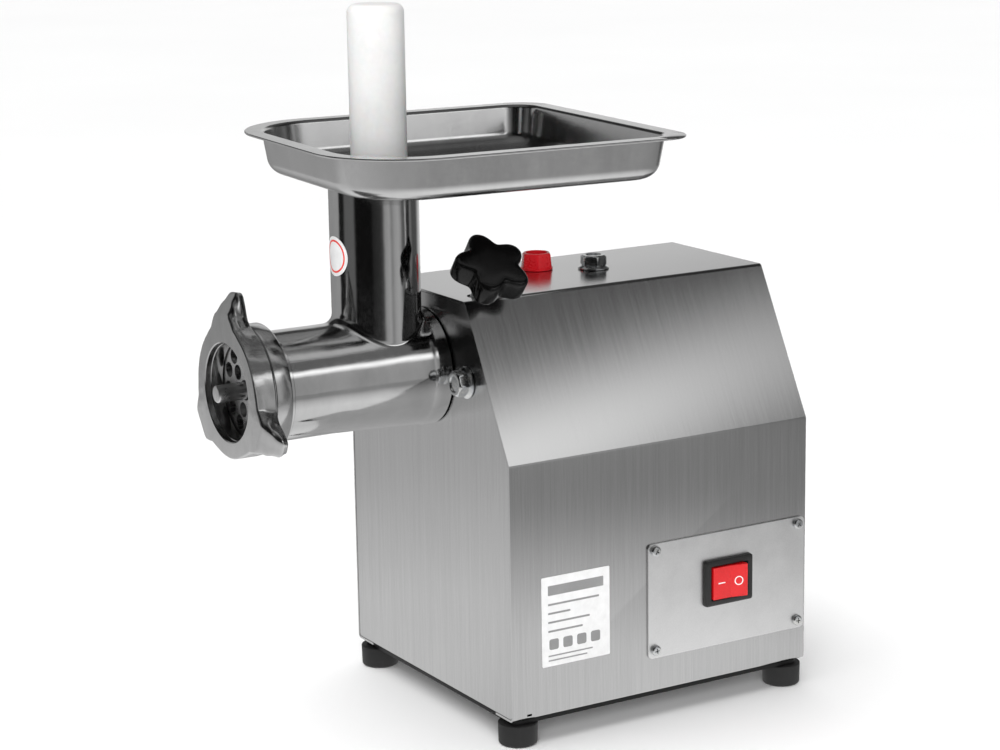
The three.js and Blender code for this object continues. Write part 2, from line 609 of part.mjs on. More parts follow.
function makeAuger() {
  const front = -95.5;
  const rear = 38;
  const pitch = 29;
  const turns = (rear - front) / pitch;
  const steps = Math.round(turns * 10);
  const rings = [];
  // One section: the root circle with the flight as a lobe on one side.
  const section = [];
  const crest = BORE_R - 0.6;
  const flight = [[10.5, -62], [crest, -38], [crest, -13], [crest, 13], [crest, 38], [10.5, 62]];
  for (const [r, degrees] of flight) section.push([r, THREE.MathUtils.degToRad(degrees)]);
  for (let degrees = 90; degrees <= 270; degrees += 45) section.push([9, THREE.MathUtils.degToRad(degrees)]);
  for (let step = 0; step <= steps; step += 1) {
    const y = front + ((rear - front) * step) / steps;
    const turn = (2 * Math.PI * (y - front)) / pitch;
    rings.push(section.map(([r, a]) => [r * Math.cos(a - turn), y, r * Math.sin(a - turn)]));
  }
  rings.reverse();
  const screw = loft(rings).translate(0, 0, AXIS_Z);
  const knifeSeat = box(-4.7, 4.7, -103.2, front + 1, AXIS_Z - 4.7, AXIS_Z + 4.7);
  const tail = roundY(9, rear - 1, 50, 0, AXIS_Z, 0, 20);
  const tang = box(-5.7, 5.7, 45, 62, AXIS_Z - 5.7, AXIS_Z + 5.7);
  const socket = roundY(3.4, -104, -90, 0, AXIS_Z, 0, 16);
  piece("auger", shaped([screw, knifeSeat, tail, tang], [socket]), steel);
  const stud = turned([[0, -91], [3.1, -91], [3.1, -103.5], [4.7, -103.5], [4.7, -125], [3.6, -126], [0, -126]], 20);
  piece("auger_stud", stud.translate(0, 0, AXIS_Z), steel);
}

// ---------------------------------------------------------------- ring nut
// Half an ear at some distances along the axis: [degrees from its middle, radius].
const EAR = [
  { y: -119.3, line: [[0, 41.3], [11.8, 42.2], [21.7, 36.8], [34, 35.5]] },
  { y: -115.8, line: [[0, 47.1], [9.2, 47.7], [14, 41], [21.7, 36.8], [34, 35.5]] },
  { y: -111.6, line: [[0, 52.6], [6.1, 52.9], [11.5, 41], [19.5, 36.4], [32, 35.4]] },
  { y: NUT.back, line: [[0, 52], [4.2, 52.2], [9.5, 39.8], [17, 36], [29, 35.4]] },
];
const EAR_STEPS = [0, 4.2, 6.1, 9.2, 11.8, 14, 18.6, 22.9, 28, 34, 40.5, 47, 53.5];

// Radius of a section at some degrees from the middle of its ear.
function earRadius(line, off) {
  const whole = [...line, [47, NUT.radius], [60, NUT.radius]];
  const i = Math.max(1, whole.findIndex(([degrees]) => degrees >= off));
  const [a, ra] = whole[i - 1];
  const [b, rb] = whole[i];
  return ra + ((rb - ra) * (off - a)) / (b - a);
}

function makeRingNut() {
  const offsets = [...EAR_STEPS.slice(1).reverse().map((off) => -off), ...EAR_STEPS, 60];
  const ring = (y, radiusAt) => [0, 1, 2].flatMap((ear) => offsets.map((off) => {
    const a = THREE.MathUtils.degToRad(NUT.turn + 120 * ear + off);
    const r = radiusAt(Math.abs(off));
    return [r * Math.cos(a), y, r * Math.sin(a)];
  }));
  const plain = (y, r) => ring(y, () => r);
  const rings = [
    plain(RING_FRONT, MOUTH_R),
    plain(-109.6, MOUTH_R),
    plain(-109.6, 30.4),
    plain(NUT.rear, 30.4),
    plain(NUT.rear, NUT.radius - 0.7),
    plain(NUT.rear - 0.7, NUT.radius),
    plain(NUT.back + 0.1, NUT.radius),
    ...EAR.map(({ y, line }) => ring(y, (off) => earRadius(line, off))).reverse(),
    ring(RING_FRONT, (off) => earRadius(EAR[0].line, off) - 0.8),
  ];
  piece("ring_nut", loft(rings, true).translate(0, 0, AXIS_Z), polished);
}

// ---------------------------------------------------------------- tray and pusher
function makeTray() {
  const { halfX, halfY, frontCorner, rearCorner, rim, top, floor, sheet, aside, behind, turn } = TRAY;
  // The outline at a height, drawn in from the rim's edge; the front corners are rounder than the rear ones.
  const level = (z, inset) => {
    const front = frontCorner - inset;
    const rear = rearCorner - inset / 2;
    const corners = [[1, 1, rear], [-1, 1, rear], [-1, -1, front], [1, -1, front]];
    const steps = 6;
    return corners.flatMap(([sideX, sideY, radius], quarter) => Array.from({ length: steps + 1 }, (_, i) => {
      const a = (Math.PI / 2) * (quarter + i / steps);
      const x = sideX * (halfX - inset - radius) + radius * Math.cos(a);
      const y = sideY * (halfY - inset - radius) + radius * Math.sin(a);
      return [aside + x, behind + y, z];
    }));
  };
  const rimPlate = loft([level(top - sheet, 0), level(top, 0)]);
  const pan = loft([
    level(floor, rim + 15.5),
    level(floor + 1, rim + 11.5),
    level(floor + 3.5, rim + 7.3),
    level(floor + 8, rim + 4),
    level(top - 0.2, rim),
  ]);
  const hollow = loft([
    level(floor + sheet, rim + 15.8),
    level(floor + sheet + 1.4, rim + 11.2),
    level(floor + sheet + 4.2, rim + 7.6),
    level(floor + sheet + 8.5, rim + 5),
    level(top + 1, rim + 1.2),
  ]);
  const collar = roundZ(FEED_BORE - GAP, floor - 15, floor + 0.5, 0, 0, 0, 28);
  const throat = roundZ(FEED_BORE - GAP - 1, floor - 20, floor + 5, 0, 0, 0, 28);
  const tray = piece("meat_tray", shaped([pan, rimPlate, collar], [hollow, throat]), polished);
  tray.position.set(0, FEED_Y, 0);
  tray.rotation.z = turn;

  const { radius, x, y, bottom, top: end, round } = PUSHER;
  const profile = [[0, bottom], [radius - 1, bottom], [radius, bottom + 1]];
  for (let i = 0; i <= 5; i += 1) {
    const a = (Math.PI / 2) * (i / 5);
    profile.push([radius - round + round * Math.cos(a), end - round + round * Math.sin(a)]);
  }
  profile.push([0, end]);
  piece("pusher", turned(profile, 24).rotateX(Math.PI / 2), whitePlastic, [x, y, 0]);
}

// ---------------------------------------------------------------- clamp knob
function makeClamp() {
  const { neck, knob, face, lobes, lobe, radius, turn } = CLAMP;
  const star = outline(Array.from({ length: lobes * 9 }, (_, i) => {
    const a = (2 * Math.PI * i) / (lobes * 9);
    const r = radius - lobe + lobe * Math.cos(lobes * (a - turn));
    return [r * Math.cos(a), r * Math.sin(a)];
  }));
  const body = shaped([
    prismZ(star, knob, face).rotateX(-Math.PI / 2),
    turned([[0, neck], [8, neck], [9.5, knob + 1], [0, knob + 1]], 20),
    turned([[0, face - 0.5], [14, face - 0.5], [12, face + 0.8], [0, face + 1.2]], 20),
  ], [turned([[0, neck - 4], [4.3, neck - 4], [4.3, neck + 14], [0, neck + 14]], 14)]);
  piece("clamp_knob", alongClamp(body), blackPlastic);
  piece("clamp_screw", clampBar(4, SPIGOT_R + GAP, neck + 13.7), zinc);
}

makeHousing();
makeControls();
makeGearbox();
makeMotor();
makeHead();
makeRingNut();
makeTray();
makeClamp();

// The origin is on the table, under the middle of the whole.
const bounds = new THREE.Box3().setFromObject(model, true);
const middle = bounds.getCenter(new THREE.Vector3());
model.position.set(-middle.x, -middle.y, -bounds.min.z);

export default model;
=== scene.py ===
import math

import bmesh
import bpy
from mathutils import Matrix, Vector
from mathutils.geometry import delaunay_2d_cdt, tessellate_polygon


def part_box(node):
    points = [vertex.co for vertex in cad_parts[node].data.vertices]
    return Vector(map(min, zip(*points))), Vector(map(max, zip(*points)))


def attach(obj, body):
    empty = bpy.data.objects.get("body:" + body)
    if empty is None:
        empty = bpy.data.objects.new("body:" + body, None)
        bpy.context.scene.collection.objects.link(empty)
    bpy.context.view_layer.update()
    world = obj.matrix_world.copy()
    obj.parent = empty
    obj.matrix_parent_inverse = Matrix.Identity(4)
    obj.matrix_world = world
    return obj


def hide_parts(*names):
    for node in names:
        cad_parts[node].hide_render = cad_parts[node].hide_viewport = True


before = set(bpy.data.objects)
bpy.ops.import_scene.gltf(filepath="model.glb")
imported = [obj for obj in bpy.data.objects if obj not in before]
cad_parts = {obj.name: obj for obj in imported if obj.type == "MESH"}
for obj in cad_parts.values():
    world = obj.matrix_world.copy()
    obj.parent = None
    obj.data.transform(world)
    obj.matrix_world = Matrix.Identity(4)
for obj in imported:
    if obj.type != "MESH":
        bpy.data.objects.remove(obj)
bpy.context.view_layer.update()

MM = 0.001
TAU = 2 * math.pi


def node_box(node):
    """The box of a CAD node in millimetres, from the housing's front, middle and table."""
    low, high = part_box(node)
    return (low - ORIGIN) / MM, (high - ORIGIN) / MM


def box_middle(node):
    low, high = node_box(node)
    return (low + high) / 2


HOUSING_LOW, HOUSING_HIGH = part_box("housing_wrapper")
ORIGIN = Vector(((HOUSING_LOW.x + HOUSING_HIGH.x) / 2, HOUSING_LOW.y, 0))


def place(point):
    return ORIGIN + Vector(point) * MM


# ---------------------------------------------------------------- driving dimensions, from the frame
GAP = 0.3
SHEET = 1.2
WRAP_LOW, WRAP_HIGH = node_box("housing_wrapper")
HALF_WIDTH = WRAP_HIGH.x
LENGTH = WRAP_HIGH.y
BOTTOM = WRAP_LOW.z
TOP = WRAP_HIGH.z
SHOULDER = 157.2  # where the slopes begin
HALF_TOP = 44.75
LIP = HALF_WIDTH - 18

HEAD_LOW, HEAD_HIGH = node_box("grinder_head")
HEAD_FRONT = HEAD_LOW.y
SPIGOT_END = HEAD_HIGH.y
FEED_TOP = HEAD_HIGH.z
AXIS_Z = 196.5
BORE_R = 22.0
SPIGOT_R = 25.9
FEED_Y = -29.2
FEED_R = 24.3
FEED_BORE = 21.7
HEAD_REAR = -0.5  # of the barrel, just in front of the housing
BARREL = [  # (place along the axis, radius)
    (-94.5, 29.6), (-62.0, 29.6), (-14.0, 31.5), (-10.5, 31.9), (-9.0, 32.3), (-1.0, 32.3), (HEAD_REAR, 31.9),
]

RING_FRONT = node_box("ring_nut")[0].y
PLATE_FRONT = node_box("hole_plate")[0].y
PLATE_REAR = node_box("hole_plate")[1].y
PLATE_R = 27.0
STUD_FRONT = node_box("auger_stud")[0].y

TRAY_TOP = node_box("meat_tray")[1].z
TRAY_FLOOR = FEED_TOP + GAP
TRAY_HALF_X = 95.0
TRAY_HALF_Y = 99.5
TRAY_ASIDE = -2.0
TRAY_BEHIND = 48.25
TRAY_TURN = math.radians(-4)
TRAY_FRONT_CORNER = 52.0
TRAY_REAR_CORNER = 20.0

CLAMP_ANGLE = math.radians(50.5)
CLAMP_Y = 14.0
KNOB_NECK = 64.0  # distances from the head's axis
KNOB_BASE = 69.3
KNOB_FACE = 82.2
KNOB_R = 21.2
LOBES = 5
KNOB_TURN = math.radians(40)

SWITCH_LOW, SWITCH_HIGH = node_box("switch_body")
SWITCH_Y = (SWITCH_LOW.y + SWITCH_HIGH.y) / 2
SWITCH_Z = (SWITCH_LOW.z + SWITCH_HIGH.z) / 2
PANEL_LOW, PANEL_HIGH = node_box("control_plate")
SWITCH_TILT = math.radians(7)
GLAND = (52.0, 46.0)
TOP_BOLT = (1.6, 109.6)
OIL_PLUG = (-15.0, 82.0)
FRONT_BOLTS = {"front_bolt_left": -45.0, "front_bolt_right": 45.0}
FRONT_BOLT_Z = 195.0
ROUND_LABEL_Z = 262.5


# ---------------------------------------------------------------- shapes
# Each is (points, faces), in millimetres.
ABOUT_Z = Matrix.Identity(4)
ABOUT_Y = Matrix.Rotation(-math.pi / 2, 4, "X")
ABOUT_X = Matrix.Rotation(math.pi / 2, 4, "Y")


def moved(shape, matrix):
    points, faces = shape
    return [tuple(matrix @ Vector(p)) for p in points], faces


def at(x, y, z, turn=ABOUT_Z):
    return Matrix.Translation((x, y, z)) @ turn


ON_AXIS = at(0, 0, AXIS_Z)
ROUND_AXIS = at(0, 0, AXIS_Z, ABOUT_Y)


def joined(*shapes):
    points, faces = [], []
    for more_points, more_faces in shapes:
        base = len(points)
        points += more_points
        faces += [tuple(base + i for i in face) for face in more_faces]
    return points, faces


def rounded(points, radii, steps=5, closed=True):
    """A line or outline with its corners rounded; radii is one number, or one per point."""
    result = []
    count = len(points)
    for i, point in enumerate(points):
        radius = radii[i] if isinstance(radii, (list, tuple)) else radii
        corner = Vector(point)
        if radius <= 0 or (not closed and i in (0, count - 1)):
            result.append(tuple(corner))
            continue
        back = Vector(points[i - 1]) - corner
        ahead = Vector(points[(i + 1) % count]) - corner
        half = back.angle(ahead) / 2
        cut = min(radius / math.tan(half), 0.49 * back.length, 0.49 * ahead.length)
        radius = cut * math.tan(half)
        back.normalize()
        ahead.normalize()
        centre = corner + (back + ahead).normalized() * (radius / math.sin(half))
        start = corner + back * cut - centre
        end = corner + ahead * cut - centre
        whole = math.pi - 2 * half
        for k in range(steps + 1):
            t = k / steps
            arm = (start * math.sin((1 - t) * whole) + end * math.sin(t * whole)) / math.sin(whole)
            result.append(tuple(centre + arm))
    return result


def circle(radius, steps=32, x=0.0, y=0.0):
    angles = [TAU * i / steps for i in range(steps)]
    return [(x + radius * math.cos(a), y + radius * math.sin(a)) for a in angles]


def rectangle(x0, x1, y0, y1, radius=0.0, steps=4):
    corners = [(x0, y0), (x1, y0), (x1, y1), (x0, y1)]
    return rounded(corners, radius, steps) if radius else corners


def loft(rings, closed=False, caps=True):
    """Walls between rings of equal length; closed joins the last ring to the first, caps fills the ends."""
    count = len(rings[0])
    points = [point for ring in rings for point in ring]
    faces = []
    for r in range(len(rings) if closed else len(rings) - 1):
        upper = ((r + 1) % len(rings)) * count
        for i in range(count):
            j = (i + 1) % count
            faces.append((r * count + i, r * count + j, upper + j, upper + i))
    if caps and not closed:
        faces.append(tuple(reversed(range(count))))
        faces.append(tuple(range((len(rings) - 1) * count, len(rings) * count)))
    return points, faces


def stack(levels, steps=48):
    """Rings up the Z axis from (height, radius) pairs; a radius may be a function of the angle."""
    rings = []
    for height, radius in levels:
        ring = []
        for i in range(steps):
            a = TAU * i / steps
            r = radius(a) if callable(radius) else radius
            ring.append((r * math.cos(a), r * math.sin(a), height))
        rings.append(ring)
    return rings


def lathe(profile, steps=64, closed=False):
    """Turns (radius, height) points about Z; points on the axis become one point each."""
    points, rings, faces = [], [], []
    for radius, height in profile:
        base = len(points)
        if radius < 1e-6:
            points.append((0, 0, height))
            rings.append([base] * steps)
        else:
            points += [(x, y, height) for x, y in circle(radius, steps)]
            rings.append(list(range(base, base + steps)))
    pairs = list(zip(rings, rings[1:]))
    if closed:
        pairs.append((rings[-1], rings[0]))
    for lower, upper in pairs:
        for i in range(steps):
            j = (i + 1) % steps
            face = []
            for index in (lower[i], lower[j], upper[j], upper[i]):
                if index not in face:
                    face.append(index)
            if len(face) > 2:
                faces.append(tuple(face))
    return points, faces


PLANES = {
    "XY": lambda u, v, h: (u, v, h),
    "XZ": lambda u, v, h: (u, h, v),
    "YZ": lambda u, v, h: (h, u, v),
}


def prism(outer, low, high, plane="XY", holes=()):
    """An outline with holes, standing from low to high on one of the three planes."""
    loops = [outer, *holes]
    flat = [point for loop in loops for point in loop]
    count = len(flat)
    lay = PLANES[plane]
    points = [lay(u, v, low) for u, v in flat] + [lay(u, v, high) for u, v in flat]
    triangles = tessellate_polygon([[Vector((u, v, 0)) for u, v in loop] for loop in loops])
    faces = [tuple(t) for t in triangles]
    faces += [tuple(i + count for i in reversed(t)) for t in triangles]
    start = 0
    for loop in loops:
        for i in range(len(loop)):
            a = start + i
            b = start + (i + 1) % len(loop)
            faces.append((a, b, b + count, a + count))
        start += len(loop)
    return points, faces


def cuboid(x0, x1, y0, y1, z0, z1):
    return prism(rectangle(x0, x1, y0, y1), z0, z1)


def new_object(name, data):
    thing = bpy.data.objects.new(name, data)
    bpy.context.scene.collection.objects.link(thing)
    return thing


def to_mesh(name, shape, scale=False):
    points, faces = shape
    mesh = bpy.data.meshes.new(name)
    mesh.from_pydata([place(p) for p in points] if scale else points, [], faces)
    work = bmesh.new()
    work.from_mesh(mesh)
    bmesh.ops.remove_doubles(work, verts=work.verts, dist=2e-6 if scale else 2e-3)
    bmesh.ops.dissolve_degenerate(work, edges=work.edges, dist=1e-7 if scale else 1e-4)
    bmesh.ops.recalc_face_normals(work, faces=work.faces)
    work.to_mesh(mesh)
    work.free()
    return mesh


def carved(base, tools, operation="DIFFERENCE"):
    """A shape with others cut away from it, or joined on."""
    scratch = []
    for shape in (base, *tools):
        scratch.append(new_object("scratch", to_mesh("scratch", shape)))
    for tool in scratch[1:]:
        modifier = scratch[0].modifiers.new("carve", "BOOLEAN")
        modifier.object = tool
        modifier.operation = operation
        modifier.solver = "EXACT"
    bpy.context.view_layer.update()
    solid = scratch[0].evaluated_get(bpy.context.evaluated_depsgraph_get())
    mesh = solid.to_mesh()
    result = [tuple(v.co) for v in mesh.vertices], [tuple(p.vertices) for p in mesh.polygons]
    solid.to_mesh_clear()
    for thing in scratch:
        mesh = thing.data
        bpy.data.objects.remove(thing)
        bpy.data.meshes.remove(mesh)
    return result


# ---------------------------------------------------------------- materials
def add(tree, kind, **inputs):
    node = tree.nodes.new(kind)
    for name, value in inputs.items():
        node.inputs[name.replace("_", " ")].default_value = value
    return node


def stretched(tree, scale, turn=(0, 0, 0)):
    """Coordinates fixed to the piece, in metres times scale."""
    source = tree.nodes.new("ShaderNodeTexCoord")
    mapping = add(tree, "ShaderNodeMapping", Scale=scale, Rotation=turn)
    tree.links.new(source.outputs["Object"], mapping.inputs["Vector"])
    return mapping.outputs["Vector"]


def noise(tree, scale, detail=3.0, roughness=0.55, turn=(0, 0, 0)):
    node = add(tree, "ShaderNodeTexNoise", Scale=1.0, Detail=detail, Roughness=roughness)
    tree.links.new(stretched(tree, scale, turn), node.inputs["Vector"])
    return node.outputs["Fac"]


def spread(tree, value, low, high, out_low, out_high):
    node = add(tree, "ShaderNodeMapRange")
    for i, number in enumerate((low, high, out_low, out_high), start=1):
        node.inputs[i].default_value = number
    tree.links.new(value, node.inputs[0])
    return node.outputs[0]


def math_node(tree, operation, a, b):
    node = tree.nodes.new("ShaderNodeMath")
    node.operation = operation
    for socket, value in zip(node.inputs, (a, b)):
        if isinstance(value, (int, float)):
            socket.default_value = value
        else:
            tree.links.new(value, socket)
    return node.outputs[0]


def weighted(tree, first, first_share, second, second_share):
    left = math_node(tree, "MULTIPLY", first, first_share)
    right = math_node(tree, "MULTIPLY", second, second_share)
    return math_node(tree, "ADD", left, right)


def ramp(tree, value, stops):
    """Colours along a value; each stop is (place, colour), and a colour may be one grey number."""
    node = tree.nodes.new("ShaderNodeValToRGB")
    band = node.color_ramp
    while len(band.elements) < len(stops):
        band.elements.new(0.5)
    for element, (position, colour) in zip(band.elements, stops):
        element.position = position
        rgb = (colour,) * 3 if isinstance(colour, (int, float)) else colour
        element.color = (*rgb, 1)
    tree.links.new(value, node.inputs["Fac"])
    return node.outputs["Color"]


def bump(tree, height, strength, distance, below=None):
    node = add(tree, "ShaderNodeBump", Strength=strength, Distance=distance)
    tree.links.new(height, node.inputs["Height"])
    if below is not None:
        tree.links.new(below, node.inputs["Normal"])
    return node.outputs["Normal"]


def surface(name, metallic=0.0, **settings):
    """A new material and its tree and shader; settings are constants on the shader's sockets."""
    material = bpy.data.materials.new(name)
    material.use_nodes = True
    shader = material.node_tree.nodes["Principled BSDF"]
    shader.inputs["Metallic"].default_value = metallic
    for socket, value in settings.items():
        shader.inputs[socket.replace("_", " ")].default_value = value
    return material, material.node_tree, shader


def brushed(name, grain, tangent, dark, light):
    """Brushed stainless sheet: fine streaks along the grain, faint clouds and a few long scratches."""
    material, tree, shader = surface(name, metallic=1.0, Anisotropic=0.4, Anisotropic_Rotation=0.25)
    fine = noise(tree, grain, detail=4.0, roughness=0.65)
    coarse = noise(tree, tuple(g * 0.23 for g in grain), detail=2.0)
    clouds = noise(tree, (14, 14, 14), detail=3.0)
    streak = weighted(tree, fine, 0.65, coarse, 0.35)
    tone = math_node(tree, "ADD", streak, math_node(tree, "MULTIPLY", clouds, 0.25))
    tree.links.new(ramp(tree, tone, [(0.38, dark), (0.78, light)]), shader.inputs["Base Color"])
    tree.links.new(spread(tree, tone, 0.35, 0.8, 0.17, 0.23), shader.inputs["Roughness"])
    tree.links.new(bump(tree, streak, 0.06, 0.0001), shader.inputs["Normal"])
    along = tree.nodes.new("ShaderNodeTangent")
    along.direction_type = "RADIAL"
    along.axis = tangent
    tree.links.new(along.outputs["Tangent"], shader.inputs["Tangent"])
    return material


def polished(name, tone, rough=(0.05, 0.16), wave=0.05, wave_scale=45.0):
    """Polished cast stainless: soft waves left by the buffing wheel, fine scratches and faint smears."""
    material, tree, shader = surface(name, metallic=1.0)
    waves = noise(tree, (wave_scale,) * 3, detail=1.5)
    smears = noise(tree, (30, 30, 12), detail=5.0, roughness=0.7)
    scratches = noise(tree, (1600, 90, 300), detail=2.0, turn=(0.4, 0.2, 0.5))
    tree.links.new(ramp(tree, smears, [(0.3, tone[0]), (0.7, tone[1])]), shader.inputs["Base Color"])
    mixed = weighted(tree, smears, 0.6, scratches, 0.4)
    tree.links.new(spread(tree, mixed, 0.35, 0.65, *rough), shader.inputs["Roughness"])
    soft = bump(tree, waves, wave, 0.004)
    tree.links.new(bump(tree, scratches, 0.03, 0.0001, soft), shader.inputs["Normal"])
    return material


def turned_steel(name, centre, tone, rough):
    """Machined steel with faint rings round a Y axis through centre."""
    material, tree, shader = surface(name, metallic=1.0)
    source = tree.nodes.new("ShaderNodeTexCoord")
    shifted = tree.nodes.new("ShaderNodeVectorMath")
    shifted.operation = "SUBTRACT"
    shifted.inputs[1].default_value = centre
    flat = tree.nodes.new("ShaderNodeVectorMath")
    flat.operation = "MULTIPLY"
    flat.inputs[1].default_value = (1, 0, 1)
    length = tree.nodes.new("ShaderNodeVectorMath")
    length.operation = "LENGTH"
    tree.links.new(source.outputs["Object"], shifted.inputs[0])
    tree.links.new(shifted.outputs[0], flat.inputs[0])
    tree.links.new(flat.outputs[0], length.inputs[0])
    rings = tree.nodes.new("ShaderNodeTexNoise")
    rings.noise_dimensions = "1D"
    rings.inputs["Scale"].default_value = 1.0
    rings.inputs["Detail"].default_value = 3.0
    tree.links.new(math_node(tree, "MULTIPLY", length.outputs["Value"], 3000.0), rings.inputs["W"])
    spots = noise(tree, (160, 160, 160), detail=3.0)
    tone_value = weighted(tree, rings.outputs["Fac"], 0.6, spots, 0.4)
    tree.links.new(ramp(tree, tone_value, [(0.35, tone[0]), (0.65, tone[1])]), shader.inputs["Base Color"])
    tree.links.new(spread(tree, tone_value, 0.35, 0.65, *rough), shader.inputs["Roughness"])
    tree.links.new(bump(tree, rings.outputs["Fac"], 0.15, 0.00008), shader.inputs["Normal"])
    return material


def grained(
    name, dark, light, rough, scale=900.0, depth=0.1, height=0.0002, metallic=0.0, mottle=40.0, **settings
):
    """Moulded, cast or painted surface: a fine texture in relief over a slow change of tone."""
    material, tree, shader = surface(name, metallic=metallic, **settings)
    grain = noise(tree, (scale,) * 3, detail=2.0)
    slow = noise(tree, (mottle,) * 3, detail=4.0)
    both = weighted(tree, grain, 0.3, slow, 0.7)
    tree.links.new(ramp(tree, both, [(0.35, dark), (0.65, light)]), shader.inputs["Base Color"])
    tree.links.new(spread(tree, both, 0.35, 0.65, *rough), shader.inputs["Roughness"])
    tree.links.new(bump(tree, grain, depth, height), shader.inputs["Normal"])
    return material


FINISH = {}


def finish(slot, name, maker, *values, **settings):
    """Makes a material and keeps it by name; the slot is not used."""
    FINISH[name] = maker(name, *values, **settings)


def make_finishes():
    head_centre = tuple(place((0, 0, AXIS_Z)))
    finish("brushed_stainless", "sheet_side", brushed, (26, 1500, 26), "Y", 0.47, 0.55)
    finish("brushed_stainless", "sheet_front", brushed, (1500, 26, 26), "X", 0.46, 0.54)
    finish("polished_stainless", "head_polish", polished, (0.55, 0.66))
    finish(
        "polished_stainless", "nut_polish", polished, (0.5, 0.62), (0.12, 0.26), wave=0.09, wave_scale=90.0,
    )
    finish("tray_stainless", "tray_inside", polished, (0.6, 0.7), (0.12, 0.24), wave=0.035, wave_scale=22.0)
    finish("tray_stainless", "tray_outside", polished, (0.62, 0.72), (0.14, 0.26), wave=0.03, wave_scale=22.0)
    finish(
        "satin_plate", "plate_satin", grained, 0.78, 0.9, (0.34, 0.46), scale=1200.0, metallic=1.0,
        mottle=60.0,
    )
    finish("machined_steel", "turned_steel", turned_steel, head_centre, (0.6, 0.76), (0.24, 0.4))
    finish(
        "zinc", "zinc_plating", grained, (0.55, 0.57, 0.6), (0.72, 0.72, 0.7), (0.14, 0.28),
        metallic=1.0, mottle=300.0,
    )
    finish("cast_aluminium", "cast_alloy", grained, 0.36, 0.5, (0.45, 0.62), depth=0.35, metallic=1.0)
    finish("motor_laminations", "lamination_steel", grained, 0.12, 0.2, (0.4, 0.6), metallic=1.0)
    finish(
        "black_paint", "base_paint", grained, 0.003, 0.008, (0.4, 0.55), scale=1400.0, depth=0.2,
        Specular_IOR_Level=0.25,
    )
    finish(
        "black_plastic", "knob_plastic", grained, 0.001, 0.003, (0.07, 0.14), scale=600.0, depth=0.015,
        IOR=1.36,
    )
    finish(
        "black_plastic", "matt_plastic", grained, 0.008, 0.02, (0.36, 0.52), scale=1800.0, depth=0.3,
        height=0.0003,
    )
    finish(
        "red_plastic", "plug_red", grained, (0.62, 0.006, 0.012), (0.78, 0.012, 0.022), (0.22, 0.34),
        Subsurface_Weight=0.05,
    )
    finish(
        "red_plastic", "rocker_red", grained, (0.55, 0.004, 0.006), (0.7, 0.008, 0.012), (0.16, 0.26),
        depth=0.03, Coat_Weight=0.4,
    )
    finish(
        "white_plastic", "pusher_white", grained, (0.68, 0.68, 0.675), (0.74, 0.74, 0.735), (0.32, 0.46),
        scale=300.0, Subsurface_Weight=0.15, Subsurface_Scale=0.004,
    )
    finish("white_plastic", "mark_white", grained, (0.8, 0.76, 0.76), (0.88, 0.85, 0.85), (0.4, 0.5))
    finish("rubber", "foot_rubber", grained, 0.008, 0.018, (0.55, 0.75), scale=1500.0, depth=0.3)
    finish("label", "paper_white", grained, 0.7, 0.78, (0.4, 0.5), scale=2500.0, mottle=200.0)
    finish("label", "paper_grey", grained, 0.2, 0.28, (0.45, 0.55), scale=2500.0)
    finish("label", "paper_red", grained, (0.72, 0.03, 0.02), (0.82, 0.06, 0.04), (0.4, 0.5), scale=2500.0)


def piece(name, shape, finish, body, nodes=(), bevel=0.0, segments=2, smooth=32):
    """Makes an object of a shape, gives it to a body, and hides the CAD nodes it stands for."""
    mesh = to_mesh(name, shape, scale=True)
    thing = new_object(name, mesh)
    mesh.shade_smooth()
    mesh.set_sharp_from_angle(angle=math.radians(smooth))
    mesh.materials.append(FINISH[finish])
    if bevel:
        modifier = thing.modifiers.new("edges", "BEVEL")
        modifier.width = bevel * MM
        modifier.segments = segments
        modifier.limit_method = "ANGLE"
        modifier.angle_limit = math.radians(smooth)
        modifier.harden_normals = True
    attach(thing, body)
    if nodes:
        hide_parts(*nodes)
    return thing


# ---------------------------------------------------------------- housing
def housing_outline(inset, bottom):
    """The housing's section in (x, z), moved inwards."""
    lean = math.atan2(HALF_WIDTH - HALF_TOP, TOP - SHOULDER)
    side = HALF_WIDTH - inset
    shoulder = SHOULDER - inset * math.tan(lean / 2)
    top = HALF_TOP - inset * math.tan((math.pi / 2 - lean) / 2)
    right = [(side, bottom), (side, shoulder), (top, TOP - inset)]
    return right + [(-x, z) for x, z in reversed(right)]


def along_clamp(shape):
    """Lays a shape that stands on Z along the clamp screw, which points at the head's axis."""
    return moved(shape, at(0, CLAMP_Y, AXIS_Z, Matrix.Rotation(math.pi / 2 - CLAMP_ANGLE, 4, "Y")))


def hole_z(radius, z0, z1, x, y):
    return moved(lathe([(0, z0), (radius, z0), (radius, z1), (0, z1)], 32), at(x, y, 0))


